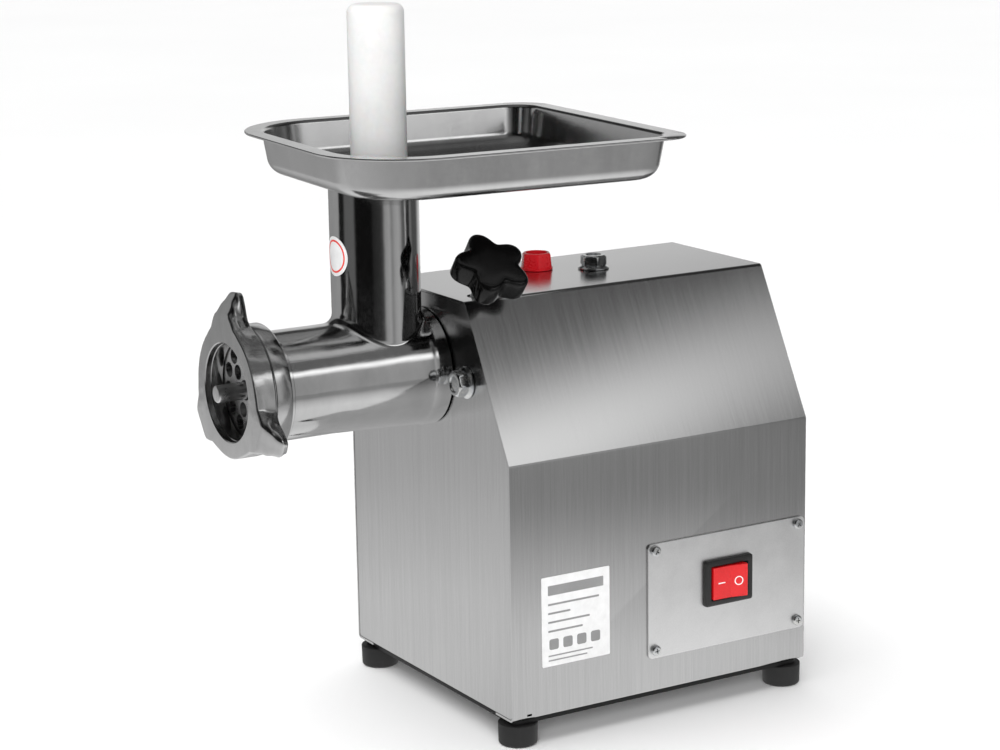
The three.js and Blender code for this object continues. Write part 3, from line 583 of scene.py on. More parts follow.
def make_housing():
    outer = housing_outline(0, BOTTOM)
    inner = housing_outline(SHEET, BOTTOM + SHEET)
    section = [
        (LIP, BOTTOM),
        *rounded(outer, 2.6, 6),
        (-LIP, BOTTOM),
        (-LIP, BOTTOM + SHEET),
        *reversed(rounded(inner, 1.4, 6)),
        (LIP, BOTTOM + SHEET),
    ]
    # The rear panel is screwed to this inward flange.
    flange_edge = housing_outline(SHEET / 2, BOTTOM + SHEET / 2)
    flange = prism(flange_edge, 191.7, 192.9, "XZ", [housing_outline(15, BOTTOM + 15)])
    holes = [
        cuboid(HALF_WIDTH - 5, HALF_WIDTH + 5, 102, 180, 46, 90),
        hole_z(4.3, TOP - 5, TOP + 5, *TOP_BOLT),
        hole_z(7, TOP - 5, TOP + 5, *OIL_PLUG),
        along_clamp(lathe([(0, 45), (5.4, 45), (5.4, 68), (0, 68)], 32)),
        cuboid(HALF_WIDTH - 3, HALF_WIDTH + 3, 9, 12, BOTTOM + 2.2, BOTTOM + 3.4),
    ]
    shell = carved(prism(section, 0, LENGTH, "XZ"), [flange], "UNION")
    wrapper = carved(shell, holes)
    piece("visual_wrapper", wrapper, "sheet_side", "housing", ["housing_wrapper"], bevel=0.28, segments=3)

    edge = housing_outline(SHEET + GAP, BOTTOM + SHEET + GAP)
    openings = [circle(SPIGOT_R + 1.1, 96, 0, AXIS_Z)]
    openings += [circle(4.4, 24, x, FRONT_BOLT_Z) for x in FRONT_BOLTS.values()]
    front = prism(rounded(edge, 1.6, 5), 0.15, 0.15 + SHEET, "XZ", openings)
    piece("visual_front", front, "sheet_front", "housing", ["front_panel"], bevel=0.3, segments=3)

    vents = []
    for side in (-1, 1):
        for row in range(6):
            x, z = side * 22, 94 + row * 9
            vents.append(rectangle(x - 16, x + 16, z - 1.6, z + 1.6, 1.55, 5))
    rear_low, rear_high = node_box("rear_panel")
    bolts = [(box_middle(f"rear_screw_{i}").x, box_middle(f"rear_screw_{i}").z) for i in range(1, 5)]
    holes = vents + [circle(1.9, 16, x, z) for x, z in bolts] + [circle(8.3, 32, *GLAND)]
    rear = prism(rounded(edge, 1.6, 5), rear_low.y, rear_high.y, "XZ", holes)
    piece("visual_rear", rear, "sheet_front", "housing", ["rear_panel"], bevel=0.25)


def make_base():
    low, high = node_box("base_plate")
    holes = []
    for i in range(1, 5):
        middle = box_middle(f"foot_{i}")
        holes.append(circle(2.9, 16, middle.x, middle.y))
    for row in range(5):
        y = 118 + row * 10
        holes.append(rectangle(-24, 24, y - 1.8, y + 1.8, 1.75, 5))
    plate = prism(rectangle(low.x, high.x, low.y, high.y, 4, 6), low.z, high.z, "XY", holes)
    piece("visual_base", plate, "base_paint", "housing", ["base_plate"], bevel=0.4)
    for i in range(1, 5):
        middle = box_middle(f"foot_{i}")
        low, high = node_box(f"foot_{i}")
        radius = (high.x - low.x) / 2
        outline = [(5.6, 0), (radius - 0.3, 0), (radius, high.z), (2.9, high.z), (2.9, 6), (5.6, 6)]
        foot = lathe(rounded(outline, [0.5, 1.6, 0.7, 0.4, 0, 0.3], 5), 64, closed=True)
        foot = moved(foot, at(middle.x, middle.y, 0))
        piece(f"visual_foot_{i}", foot, "foot_rubber", "housing", [f"foot_{i}"])


# ---------------------------------------------------------------- fasteners
def pan_screw(reach):
    """Pan head with a cross recess; its seat is at height 0 and its shank runs down to -reach."""
    outline = [(0, 2.1), (2.95, 2.1), (2.95, 0), (1.5, 0), (1.5, -reach), (0, -reach)]
    head = lathe(rounded(outline, [0, 1.5, 0.25, 0, 0.3, 0], 6, closed=False), 40)
    slots = []
    for turn in (0.35, 0.35 + math.pi / 2):
        slot = loft([
            [(-0.5, -0.22, 0.7), (0.5, -0.22, 0.7), (0.5, 0.22, 0.7), (-0.5, 0.22, 0.7)],
            [(-1.75, -0.36, 2.4), (1.75, -0.36, 2.4), (1.75, 0.36, 2.4), (-1.75, 0.36, 2.4)],
        ])
        slots.append(moved(slot, Matrix.Rotation(turn, 4, "Z")))
    return carved(head, slots)


def hexagon(across, cap=1e3):
    """Radius of a hexagon by angle, cut off at cap."""
    def radius(a):
        return min(cap, across / 2 / math.cos((a + math.pi / 6) % (math.pi / 3) - math.pi / 6))
    return radius


def flange_bolt():
    levels = [
        (-12, 3.9), (-0.02, 3.9), (0, 8.5), (0.2, 8.85), (0.8, 8.85), (1.0, 8.6), (2.0, 6.9),
        (2.15, hexagon(12.4)), (2.5, hexagon(13)), (6.7, hexagon(13)), (7.2, hexagon(13, 7.05)),
        (7.9, hexagon(13, 6.2)), (7.9, 4.7), (7.75, 4.4), (7.15, 4.1), (7.1, 1.0),
    ]
    return loft(stack(levels, 72))


def make_fasteners():
    screw = pan_screw(8)
    for i in range(1, 5):
        middle = box_middle(f"panel_screw_{i}")
        seat = PANEL_HIGH.x + 0.15
        turned = Matrix.Rotation(0.7 * i, 4, "Z")
        shape = moved(moved(screw, turned), at(seat, middle.y, middle.z, ABOUT_X))
        piece(f"visual_panel_screw_{i}", shape, "zinc_plating", "housing", [f"panel_screw_{i}"])
        middle = box_middle(f"rear_screw_{i}")
        seat = node_box("rear_panel")[1].y + 0.15
        shape = moved(moved(screw, turned), at(middle.x, seat, middle.z, ABOUT_Y))
        piece(f"visual_rear_screw_{i}", shape, "zinc_plating", "housing", [f"rear_screw_{i}"])
    bolt = flange_bolt()
    place_top = at(TOP_BOLT[0], TOP_BOLT[1], TOP + 0.15, Matrix.Rotation(0.26, 4, "Z"))
    piece("visual_top_bolt", moved(bolt, place_top), "zinc_plating", "housing", ["top_bolt"])
    for name, x in FRONT_BOLTS.items():
        forward = Matrix.Rotation(math.pi / 2, 4, "X") @ Matrix.Rotation(0.4, 4, "Z")
        shape = moved(bolt, at(x, -0.05, FRONT_BOLT_Z, forward))
        piece(f"visual_{name}", shape, "zinc_plating", "housing", [name])

    levels = [
        (-7, 6.4), (0, 6.4), (0, 8.9), (0.25, 9.15), (1.1, 9.15), (1.4, 8.9), (1.5, hexagon(16.4, 9.1)),
        (8.6, hexagon(15.0)), (9.2, hexagon(14.6, 7.9)), (9.6, hexagon(14.2, 7.4)), (9.6, 6.4), (9.35, 6.1),
        (6.3, 5.9), (6.1, 5.5), (6.1, 1.0),
    ]
    place_plug = at(OIL_PLUG[0], OIL_PLUG[1], TOP + 0.15, Matrix.Rotation(0.1, 4, "Z"))
    plug = moved(loft(stack(levels, 72)), place_plug)
    piece("visual_oil_plug", plug, "plug_red", "housing", ["oil_plug"])

    end = node_box("cable_gland")[1].y
    levels = [
        (184, 7.9), (194.5, 7.9), (194.6, hexagon(19)), (195.1, hexagon(19, 10.6)),
        (199.0, hexagon(19, 10.6)), (199.5, hexagon(19, 9.7)), (199.6, 8.3), (203, 8.2), (205.6, 7.6),
        (end - 0.5, 6.3), (end, 5.7), (end, 4.2), (end - 0.5, 3.7), (184.4, 3.7), (184, 4.1),
    ]
    gland = moved(loft(stack(levels, 72), closed=True), at(GLAND[0], 0, GLAND[1], ABOUT_Y))
    piece("visual_gland", gland, "matt_plastic", "housing", ["cable_gland"])


# ---------------------------------------------------------------- control plate, switch and labels
def make_controls():
    opening = rectangle(SWITCH_Y - 13.9, SWITCH_Y + 13.9, SWITCH_Z - 11.3, SWITCH_Z + 11.3, 0.8)
    holes = [opening]
    for i in range(1, 5):
        middle = box_middle(f"panel_screw_{i}")
        holes.append(circle(1.7, 16, middle.y, middle.z))
    outline = rectangle(PANEL_LOW.y, PANEL_HIGH.y, PANEL_LOW.z, PANEL_HIGH.z, 2.8, 6)
    plate = prism(outline, HALF_WIDTH + 0.12, PANEL_HIGH.x, "YZ", holes)
    piece("visual_plate", plate, "plate_satin", "housing", ["control_plate"], bevel=0.2)

    face = PANEL_HIGH.x + 0.05
    front = SWITCH_HIGH.x
    levels = [  # (x, half the width, half the height, corner radius)
        (face - 25, 13.4, 10.9, 0.6), (face, 13.4, 10.9, 0.6), (face, 16.1, 13.2, 1.6),
        (face + 0.3, 16.2, 13.3, 1.7),
        (front - 0.9, 16.0, 13.1, 1.5), (front - 0.2, 15.4, 12.5, 1.2), (front, 14.9, 12.0, 1.0),
        (front, 12.9, 10.2, 0.6), (front - 0.4, 12.4, 9.7, 0.5), (face - 13, 12.3, 9.6, 0.4),
    ]
    rings = []
    for x, wide, tall, radius in levels:
        edge = rectangle(SWITCH_Y - wide, SWITCH_Y + wide, SWITCH_Z - tall, SWITCH_Z + tall, radius, 5)
        rings.append([(x, y, z) for y, z in edge])
    piece("visual_switch", loft(rings), "matt_plastic", "housing", ["switch_body"])

    pin = Vector((PANEL_HIGH.x + GAP - 2.5, SWITCH_Y, SWITCH_Z))
    rest = at(*pin, Matrix.Rotation(-SWITCH_TILT, 4, "Z"))
    half = [(-6, -2.5), (-1, -8.5), (4.4, -11.0), (7.35, -10.8)]
    section = [*half, (6.15, 0), *((x, -y) for x, y in reversed(half))]
    rocker = prism(rounded(section, [0, 0.6, 0.5, 0.5, 5, 0.5, 0.5, 0.6, 0], 4), -9.15, 9.15)
    rocker = moved(rocker, rest)
    piece("visual_rocker", rocker, "rocker_red", "rocker", ["switch_rocker"], bevel=0.35, segments=3)

    slant = math.atan2(1.2, 10.8)
    marks = []
    bar = cuboid(-0.02, 0.06, -2.3, 2.3, -0.3, 0.3)
    ring = moved(lathe([(2.05, -0.02), (2.05, 0.06), (2.6, 0.06), (2.6, -0.02)], 40, closed=True), ABOUT_X)
    for side, mark in ((-1, bar), (1, ring)):
        reach = 6.15 + 5.4 * math.tan(slant)
        marks.append(moved(mark, at(reach, side * 5.4, 0, Matrix.Rotation(-side * slant, 4, "Z"))))
    piece("rocker_marks", moved(joined(*marks), rest), "mark_white", "rocker")


def make_labels():
    low, high = node_box("rating_label")
    sheet = prism(rectangle(low.y, high.y, low.z, high.z, 0.8, 4), HALF_WIDTH + 0.03, HALF_WIDTH + 0.22, "YZ")
    piece("visual_rating_label", sheet, "paper_white", "housing", ["rating_label"])
    # Plain bars stand where a real label has its print.
    y0, z1 = low.y + 4, high.z - 5
    wide = high.y - low.y - 8

    def bar(left, length, top, tall, radius):
        edge = rectangle(left, left + length, top - tall, top, radius)
        return prism(edge, HALF_WIDTH + 0.2, HALF_WIDTH + 0.25, "YZ")

    rows = [  # (drop, share of the width, height)
        (0, 1, 5.5), (10, 0.92, 1.1), (15, 0.4, 1.1), (20, 0.75, 1.1), (25, 0.62, 1.1), (39, 0.8, 0.8),
        (41.6, 0.7, 0.8),
    ]
    bars = [bar(y0, wide * share, z1 - drop, tall, 0.3) for drop, share, tall in rows]
    bars += [bar(y0 + i * wide / 4 + 0.6, 6, z1 - 30, 6, 1.2) for i in range(4)]
    piece("rating_label_bars", joined(*bars), "paper_grey", "housing")

    disc = wrapped_disc(0, 10.7, FEED_R + 0.02, FEED_R + 0.2, ROUND_LABEL_Z)
    ring = wrapped_disc(7.9, 8.9, FEED_R + 0.18, FEED_R + 0.23, ROUND_LABEL_Z)
    for thing in (
        piece("visual_round_label", disc, "paper_white", "head", ["round_label"]),
        piece("round_label_ring", ring, "paper_red", "head"),
    ):
        thing.visible_glossy = False


def wrapped_disc(inner, outer, low, high, z):
    """A disc or ring bent round the front of the feed tube, from one radius of the tube to another."""
    steps = 72
    radii = [inner + (outer - inner) * i / 8 for i in range(9)]
    rings = []
    for depth, order in ((low, radii), (high, list(reversed(radii)))):
        for r in order:
            ring = []
            for i in range(steps):
                a = TAU * i / steps
                bend = r * math.cos(a) / depth
                ring.append((depth * math.sin(bend), FEED_Y - depth * math.cos(bend), z + r * math.sin(a)))
            rings.append(ring)
    return loft(rings, closed=True)


# ---------------------------------------------------------------- head
def barrel_radius(y):
    if y <= BARREL[0][0]:
        return BARREL[0][1]
    for (y0, r0), (y1, r1) in zip(BARREL, BARREL[1:]):
        if y <= y1:
            return r0 + (r1 - r0) * (y - y0) / (y1 - y0)
    return BARREL[-1][1]


def inside(point, loop):
    x, y = point
    within = False
    for (x0, y0), (x1, y1) in zip(loop, loop[1:] + loop[:1]):
        if (y0 > y) != (y1 > y) and x < x0 + (x1 - x0) * (y - y0) / (y1 - y0):
            within = not within
    return within


def pierced_wall(radius_at, rows, loop, columns=120):
    """The wall of a tube along Y about the head's axis, with a hole in its top whose edge is loop."""
    middle = radius_at(FEED_Y)
    hole = [(math.atan2(z - AXIS_Z, x) * middle, y) for x, y, z in loop]
    flat = list(hole)
    edges = [(i, (i + 1) % len(hole)) for i in range(len(hole))]
    near = 0.7
    for y in rows:
        for i in range(columns + 1):
            point = ((TAU * i / columns - math.pi / 2) * middle, y)
            clear = min((point[0] - u) ** 2 + (point[1] - v) ** 2 for u, v in hole) > near ** 2
            if clear and not inside(point, hole):
                flat.append(point)
    result = delaunay_2d_cdt([Vector(p) for p in flat], edges, [], 0, 1e-5)
    corners, triangles = result[0], result[2]
    faces = []
    for triangle in triangles:
        centre = sum((corners[i] for i in triangle), Vector((0, 0))) / 3
        if not inside(centre, hole):
            faces.append(tuple(triangle))
    points = []
    for u, y in corners:
        r = radius_at(y)
        points.append((r * math.cos(u / middle), y, AXIS_Z + r * math.sin(u / middle)))
    return points, faces


def make_head():
    steps = 144
    fillet_steps = 8
    inner_edge = []
    arcs = [[] for _ in range(fillet_steps + 1)]
    for i in range(steps):
        a = TAU * i / steps
        out = Vector((math.cos(a), math.sin(a), 0))
        # The fillet is wide in front and closes up where the tube meets the rear rim.
        fillet = 1.4 + 5.0 * ((1 - math.sin(a)) / 2) ** 0.6
        reach = FEED_R + fillet
        y = FEED_Y + reach * out.y
        barrel = barrel_radius(y)
        centre = Vector((reach * out.x, y, math.sqrt((barrel + fillet) ** 2 - (reach * out.x) ** 2)))
        start = -out
        end = -Vector((centre.x, 0, centre.z)).normalized()
        whole = start.angle(end)
        for k in range(fillet_steps + 1):
            t = k / fillet_steps
            arm = (start * math.sin((1 - t) * whole) + end * math.sin(t * whole)) / math.sin(whole)
            point = centre + arm * fillet
            arcs[k].append((point.x, point.y, point.z + AXIS_Z))
        x = FEED_BORE * out.x
        inner_edge.append((x, FEED_Y + FEED_BORE * out.y, AXIS_Z + math.sqrt(BORE_R ** 2 - x ** 2)))
    seat = arcs[-1]

    def tube_ring(radius, z):
        return [(x, y + FEED_Y, z) for x, y in circle(radius, steps)]

    levels = [
        (FEED_R, 245), (FEED_R, FEED_TOP - 0.7), (FEED_R - 0.25, FEED_TOP - 0.15), (FEED_R - 0.7, FEED_TOP),
        (FEED_BORE + 0.5, FEED_TOP), (FEED_BORE, FEED_TOP - 0.5), (FEED_BORE, 240),
    ]
    tube = [*reversed(arcs), *(tube_ring(radius, z) for radius, z in levels), inner_edge]
    rows = [-94.5, -88, -82, -76, -70, -62, -56, -50, -44, -38, -32, -26, -20, -14, -12, -10.5, -9, -5, -1]
    rows.append(HEAD_REAR)
    outer = pierced_wall(barrel_radius, rows, seat)
    bore_rows = [PLATE_REAR - 0.3 + i * (SPIGOT_END - PLATE_REAR + 0.3) / 24 for i in range(25)]
    inner = pierced_wall(lambda _: BORE_R, bore_rows, inner_edge)
    recess = PLATE_R + GAP
    front = [
        (29.6, -94.5), (30.0, -94.6), (31.0, -94.7), (31.3, -95.0), (31.3, -96.6), (30.9, -97.0), (30, -97.2),
        (30, HEAD_FRONT + 0.8), (29.2, HEAD_FRONT), (recess + 0.3, HEAD_FRONT),
        (recess, HEAD_FRONT + 0.3), (recess, bore_rows[0]), (BORE_R, bore_rows[0]),
    ]
    rear = [
        (BORE_R, SPIGOT_END), (SPIGOT_R - 0.6, SPIGOT_END), (SPIGOT_R, SPIGOT_END - 0.6),
        (SPIGOT_R, HEAD_REAR), (BARREL[-1][1], HEAD_REAR),
    ]
    ends = [moved(lathe(profile, 120), ROUND_AXIS) for profile in (front, rear)]
    head = joined(outer, inner, loft(tube, caps=False), *ends)
    piece("visual_head", head, "head_polish", "head", ["grinder_head"])

    holes = [circle(5.5, 32)]
    for count, radius, phase in ((12, 20.4, 0.13), (6, 11.6, 0.26)):
        for i in range(count):
            a = phase + TAU * i / count
            holes.append(circle(4.1, 28, radius * math.cos(a), radius * math.sin(a)))
    plate = prism(circle(PLATE_R, 120), PLATE_FRONT, PLATE_REAR, "XZ", holes)
    piece("visual_hole_plate", moved(plate, ON_AXIS), "turned_steel", "head", ["hole_plate"], bevel=0.25)


def make_auger():
    front, rear, pitch = -95.5, 38.0, 29.0
    steps = 200
    tip = BORE_R - 0.6
    # One section: the root circle with the flight as a lobe on one side.
    flight = [(9.4, -74), (10.6, -60), (14.5, -50), (tip - 0.5, -39), (tip, -34)]
    half = [(r, math.radians(a)) for r, a in flight]
    section = half + [(tip, math.radians(a)) for a in (-17, 0, 17)] + [(r, -a) for r, a in reversed(half)]
    section += [(9.0, math.radians(a)) for a in range(95, 270, 17)]
    rings = []
    for step in range(steps + 1):
        y = front + (rear - front) * step / steps
        turn = TAU * (y - front) / pitch
        rings.append([(r * math.cos(a - turn), y, r * math.sin(a - turn)) for r, a in section])
    screw = moved(loft(rings), ON_AXIS)
    seat = moved(cuboid(-4.7, 4.7, -103.2, front + 1, -4.7, 4.7), ON_AXIS)
    tail = moved(lathe([(0, rear - 1), (9, rear - 1), (9, 50), (0, 50)], 48), ROUND_AXIS)
    tang = moved(cuboid(-5.7, 5.7, 45, 62, -5.7, 5.7), ON_AXIS)
    socket = moved(lathe([(0, -104), (3.4, -104), (3.4, -90), (0, -90)], 24), ROUND_AXIS)
    auger = carved(carved(screw, [seat, tail, tang], "UNION"), [socket])
    piece("visual_auger", auger, "turned_steel", "auger", ["auger"])

    outline = [(0, -91), (3.1, -91), (3.1, -103.5), (4.7, -103.5), (4.7, STUD_FRONT), (0, STUD_FRONT)]
    stud = lathe(rounded(outline, [0, 0.3, 0, 0.3, 1.1, 0], 5, closed=False), 56)
    piece("visual_stud", moved(stud, ROUND_AXIS), "turned_steel", "auger", ["auger_stud"])

    knife = []
    for i in range(4):
        a = TAU / 4 * i
        for r, t in ((9.5, -0.72), (9.5, -0.45), (20.5, -0.16), (20.8, 0.06), (12, 0.42)):
            knife.append((r * math.cos(a + t), r * math.sin(a + t)))
    low, high = node_box("cross_knife")
    edge = rounded(knife, [0.5, 0.5, 0.3, 0.3, 1.5] * 4, 3)
    blade = prism(edge, low.y, high.y, "XZ", [rectangle(-5, 5, -5, 5, 0.6)])
    piece("visual_knife", moved(blade, ON_AXIS), "turned_steel", "auger", ["cross_knife"], bevel=0.3)


# ---------------------------------------------------------------- ring nut
# Half an ear at some distances along the axis: (degrees from its middle, radius).
NUT_R = 35.3
NUT_REAR = -97.6
EAR_BACK = -108.4
EAR_TURN = 94.5
EAR = [
    (-120.0, [(0, 41.2), (11.8, 42.1), (21.7, 36.7), (34, 35.4), (47, NUT_R - 0.05)]),
    (-118.8, [(0, 42.4), (11.3, 43.2), (21.7, 36.9), (34, 35.6), (47, NUT_R)]),
    (-115.8, [(0, 47.1), (9.2, 47.9), (14, 41.2), (21.7, 36.9), (34, 35.6), (47, NUT_R)]),
    (-111.6, [(0, 52.6), (6.1, 52.9), (11.5, 41.0), (19.5, 36.4), (32, 35.4), (47, NUT_R)]),
    (EAR_BACK, [(0, 52.0), (4.2, 52.2), (9.5, 39.8), (17, 36.0), (29, 35.4), (47, NUT_R)]),
]


def ramped(table, value):
    """A number read off a table of (value, number) points, straight between them and level outside."""
    if value <= table[0][0]:
        return table[0][1]
    for (a, low), (b, high) in zip(table, table[1:]):
        if value <= b:
            return low + (high - low) * (value - a) / (b - a)
    return table[-1][1]


def make_ring_nut():
    count, rows = 360, 24

    def radius_at(y, degrees):
        off = abs((degrees - EAR_TURN + 60) % 120 - 60)
        return ramped([(level, ramped(line, off)) for level, line in EAR], y)

    # The ears' edges are softened by averaging each point with its neighbours.
    heights = [RING_FRONT + (EAR_BACK - RING_FRONT) * i / (rows - 1) for i in range(rows)]
    grid = [[radius_at(y, 360 * i / count) for i in range(count)] for y in heights]
    for _ in range(3):
        grid = [[(row[i - 1] + 2 * row[i] + row[(i + 1) % count]) / 4 for i in range(count)] for row in grid]
    for _ in range(2):
        sets = zip(grid, grid[1:], grid[2:])
        inner = [[(a + 2 * b + c) / 4 for a, b, c in zip(*three)] for three in sets]
        grid = [grid[0], *inner, grid[-1]]

    def ring(y, radius):
        radii = radius if isinstance(radius, list) else [radius] * count
        angles = [TAU * i / count for i in range(count)]
        return [(r * math.cos(a), y, r * math.sin(a)) for a, r in zip(angles, radii)]

    def drawn_in(radii, share):
        return [r - share * (1 + 0.03 * (r - NUT_R)) for r in radii]

    f = RING_FRONT
    rings = [
        ring(f, 26.9), ring(f + 0.5, 26.4), ring(f + 3.2, 26.2), ring(f + 3.5, 25.9), ring(f + 10.1, 25.9),
        ring(-109.6, 26.2), ring(-109.6, 30.4), ring(NUT_REAR + 0.5, 30.4), ring(NUT_REAR, 30.9),
        ring(NUT_REAR, NUT_R - 1.6), ring(NUT_REAR - 0.25, NUT_R - 1.0), ring(NUT_REAR - 1.0, NUT_R - 0.45),
        ring(-107.0, NUT_R - 0.15), ring(-107.25, NUT_R - 0.7), ring(-107.6, NUT_R - 0.75),
        ring(-107.75, drawn_in(grid[-1], 1.2)), ring(-107.9, drawn_in(grid[-1], 0.6)),
        ring(-108.15, drawn_in(grid[-1], 0.15)),
    ]
    rings += [ring(y, radii) for y, radii in reversed(list(zip(heights, grid)))][:-1]
    rings += [ring(f + rise, drawn_in(grid[0], share)) for rise, share in ((0.35, 0.0), (0.1, 0.3), (0, 0.8))]
    nut = moved(loft(rings, closed=True), ON_AXIS)
    piece("visual_ring_nut", nut, "nut_polish", "ring_nut", ["ring_nut"], smooth=40)


# ---------------------------------------------------------------- tray and pusher
def make_tray():
    per_corner = 24

    def level(inset, z):
        half_x, half_y = TRAY_HALF_X - inset, TRAY_HALF_Y - inset
        front = TRAY_FRONT_CORNER - inset
        rear = TRAY_REAR_CORNER - inset / 2
        ring = []
        corners = ((1, 1, rear), (-1, 1, rear), (-1, -1, front), (1, -1, front))
        for quarter, (sx, sy, radius) in enumerate(corners):
            for i in range(per_corner + 1):
                a = TAU / 4 * (quarter + i / per_corner)
                x = sx * (half_x - radius) + radius * math.cos(a) + TRAY_ASIDE
                y = sy * (half_y - radius) + radius * math.sin(a) + TRAY_BEHIND
                ring.append((x, y, z))
        return densified(ring)

    def densified(ring):
        """Adds points along the straight sides, so every ring has the same spread of points."""
        result = []
        for i, point in enumerate(ring):
            result.append(point)
            if i % (per_corner + 1) == per_corner:
                after = Vector(ring[(i + 1) % len(ring)])
                here = Vector(point)
                result += [tuple(here.lerp(after, k / 12)) for k in range(1, 12)]
        return result

    collar = FEED_BORE - GAP
    inset_end = 30.0
    top, under = TRAY_FLOOR + SHEET, TRAY_FLOOR
    rim = TRAY_TOP - SHEET
    inner_line = [(0.4, TRAY_TOP), (10.6, TRAY_TOP), (14.4, top), (inset_end, top)]
    outer_line = [(inset_end, under), (13.3, under), (9.5, rim), (0.3, rim)]
    upper = rounded(inner_line, [0, 2.2, 12.3, 0], 10, closed=False)
    lower = rounded(outer_line, [0, 13.5, 1.0, 0], 10, closed=False)
    rings = [level(inset, z) for inset, z in upper]

    # The collar hangs into the feed tube, down to this height.
    collar_end = 285.4
    bend = [
        (collar + 0.9, top), (collar - 0.3, top - 0.5), (collar - 0.9, top - 1.6), (collar - 1, top - 3),
        (collar - 1, collar_end + 0.3), (collar - 0.7, collar_end), (collar - 0.3, collar_end),
        (collar, collar_end + 0.3), (collar, under - 0.6), (collar + 0.4, under),
    ]
    hole = []
    for radius, z in bend:
        ring = []
        for x, y, _ in level(inset_end, 0):
            a = math.atan2(y, x)
            ring.append((radius * math.cos(a), radius * math.sin(a), z))
        hole.append(ring)
    rings += hole + [level(inset, z) for inset, z in lower]
    rings += [level(0.05, rim + 0.3), level(0.05, TRAY_TOP - 0.3)]
    tray = moved(loft(rings, closed=True), at(0, FEED_Y, 0, Matrix.Rotation(TRAY_TURN, 4, "Z")))
    thing = piece("visual_tray", tray, "tray_inside", "tray", ["meat_tray"], smooth=40)
    thing.data.materials.append(FINISH["tray_outside"])
    centre = place((0, FEED_Y + TRAY_BEHIND, TRAY_TOP))
    for face in thing.data.polygons:
        away = face.center - centre
        away.z = 0
        if face.normal.z < -0.3 or (face.normal.z < 0.3 and face.normal.dot(away) > 0):
            face.material_index = 1


def make_pusher():
    low, high = node_box("pusher")
    middle = (low + high) / 2
    radius = (high.x - low.x) / 2
    outline = [(0, low.z), (radius, low.z), (radius, high.z), (0, high.z)]
    stick = lathe(rounded(outline, [0, 1.5, 4.5, 0], 10, closed=False), 96)
    piece("visual_pusher", moved(stick, at(middle.x, middle.y, 0)), "pusher_white", "pusher", ["pusher"])


# ---------------------------------------------------------------- clamp
def make_clamp():
    def star(size, depth=3.1):
        def radius(a):
            lobe = math.cos(LOBES * (a - KNOB_TURN))
            return size * (KNOB_R - depth + depth * (lobe + 0.12 * (1 - lobe * lobe))) / KNOB_R
        return radius

    n, b, f = KNOB_NECK, KNOB_BASE, KNOB_FACE
    levels = [
        (n, 4.6), (n, 7.6), (n + 0.5, 8.1), (b - 1.2, 9.3), (b - 0.4, 9.8), (b, star(KNOB_R - 3.6, 2.4)),
        (b + 0.2, star(KNOB_R - 1.2)), (b + 0.7, star(KNOB_R - 0.5)), (b + 1.6, star(KNOB_R - 0.1)),
        (f - 2.0, star(KNOB_R)), (f - 1.0, star(KNOB_R - 0.35)), (f - 0.3, star(KNOB_R - 1.1)),
        (f + 0.1, star(KNOB_R - 2.3, 2.9)), (f + 0.35, star(KNOB_R - 4.5, 2.4)), (f + 0.8, 11.5),
        (f + 1.0, 7.5), (f + 1.1, 3.5), (f + 1.15, 0.8),
    ]
    knob = along_clamp(loft(stack(levels, 180)))
    piece("visual_knob", knob, "knob_plastic", "clamp", ["clamp_knob"], smooth=50)

    rings = []
    pitch, top, bottom = 1.25, n + 13.5, SPIGOT_R + GAP
    rows = 300
    for k in range(rows + 1):
        height = bottom + (top - bottom) * k / rows
        ring = []
        for i in range(24):
            a = TAU * i / 24
            wave = abs(((height / pitch - i / 24) % 1) - 0.5) * 2
            r = 3.45 + 0.5 * wave
            ring.append((r * math.cos(a), r * math.sin(a), height))
        rings.append(ring)
    piece("visual_clamp_screw", along_clamp(loft(rings)), "zinc_plating", "clamp", ["clamp_screw"], smooth=50)


# ---------------------------------------------------------------- the works inside keep their CAD shapes
INNER = {
    "cast_alloy": ["gearbox_body", "gearbox_cover", "motor_front_bell", "motor_rear_bell"],
    "turned_steel": [
        "output_gear", "idler_pinion", "idler_gear", "idler_shaft", "motor_pinion", "output_shaft",
        "front_bearing", "rear_bearing", "motor_front_bearing", "motor_rear_bearing", "motor_shaft",
    ],
    "lamination_steel": ["motor_stator", "motor_rotor"],
    "matt_plastic": ["motor_fan"],
    "pusher_white": ["capacitor"],
    "zinc_plating": ["capacitor_cradle", "foot_screw_1", "foot_screw_2", "foot_screw_3", "foot_screw_4"],
}


def dress_inner_works():
    for finish, names in INNER.items():
        for name in names:
            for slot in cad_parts[name].material_slots:
                slot.material = FINISH[finish]


# ---------------------------------------------------------------- camera, floor and light
# Angles in degrees, distances in millimetres; right and up shift the camera across its own view.
VIEW = {
    "azimuth": 59.197, "elevation": 12.747, "roll": -0.920,
    "distance": 1466.66, "right": 38.10, "up": 185.89,
}


def make_camera():
    azimuth, elevation, roll = (math.radians(VIEW[k]) for k in ("azimuth", "elevation", "roll"))
    flat = math.cos(elevation)
    back = Vector((math.sin(azimuth) * flat, -math.cos(azimuth) * flat, math.sin(elevation)))
    level = Vector((math.cos(azimuth), math.sin(azimuth), 0))
    upright = back.cross(level)
    right = level * math.cos(roll) + upright * math.sin(roll)
    up = upright * math.cos(roll) - level * math.sin(roll)
    data = bpy.data.cameras.new("camera")
    data.lens = 93.32
    data.sensor_width = 36
    data.clip_end = 60
    camera = new_object("camera", data)
    turn = Matrix((right, up, back)).transposed().to_4x4()
    spot = right * VIEW["right"] + up * VIEW["up"] + back * VIEW["distance"]
    camera.matrix_world = Matrix.Translation(place(spot)) @ turn
    bpy.context.scene.camera = camera


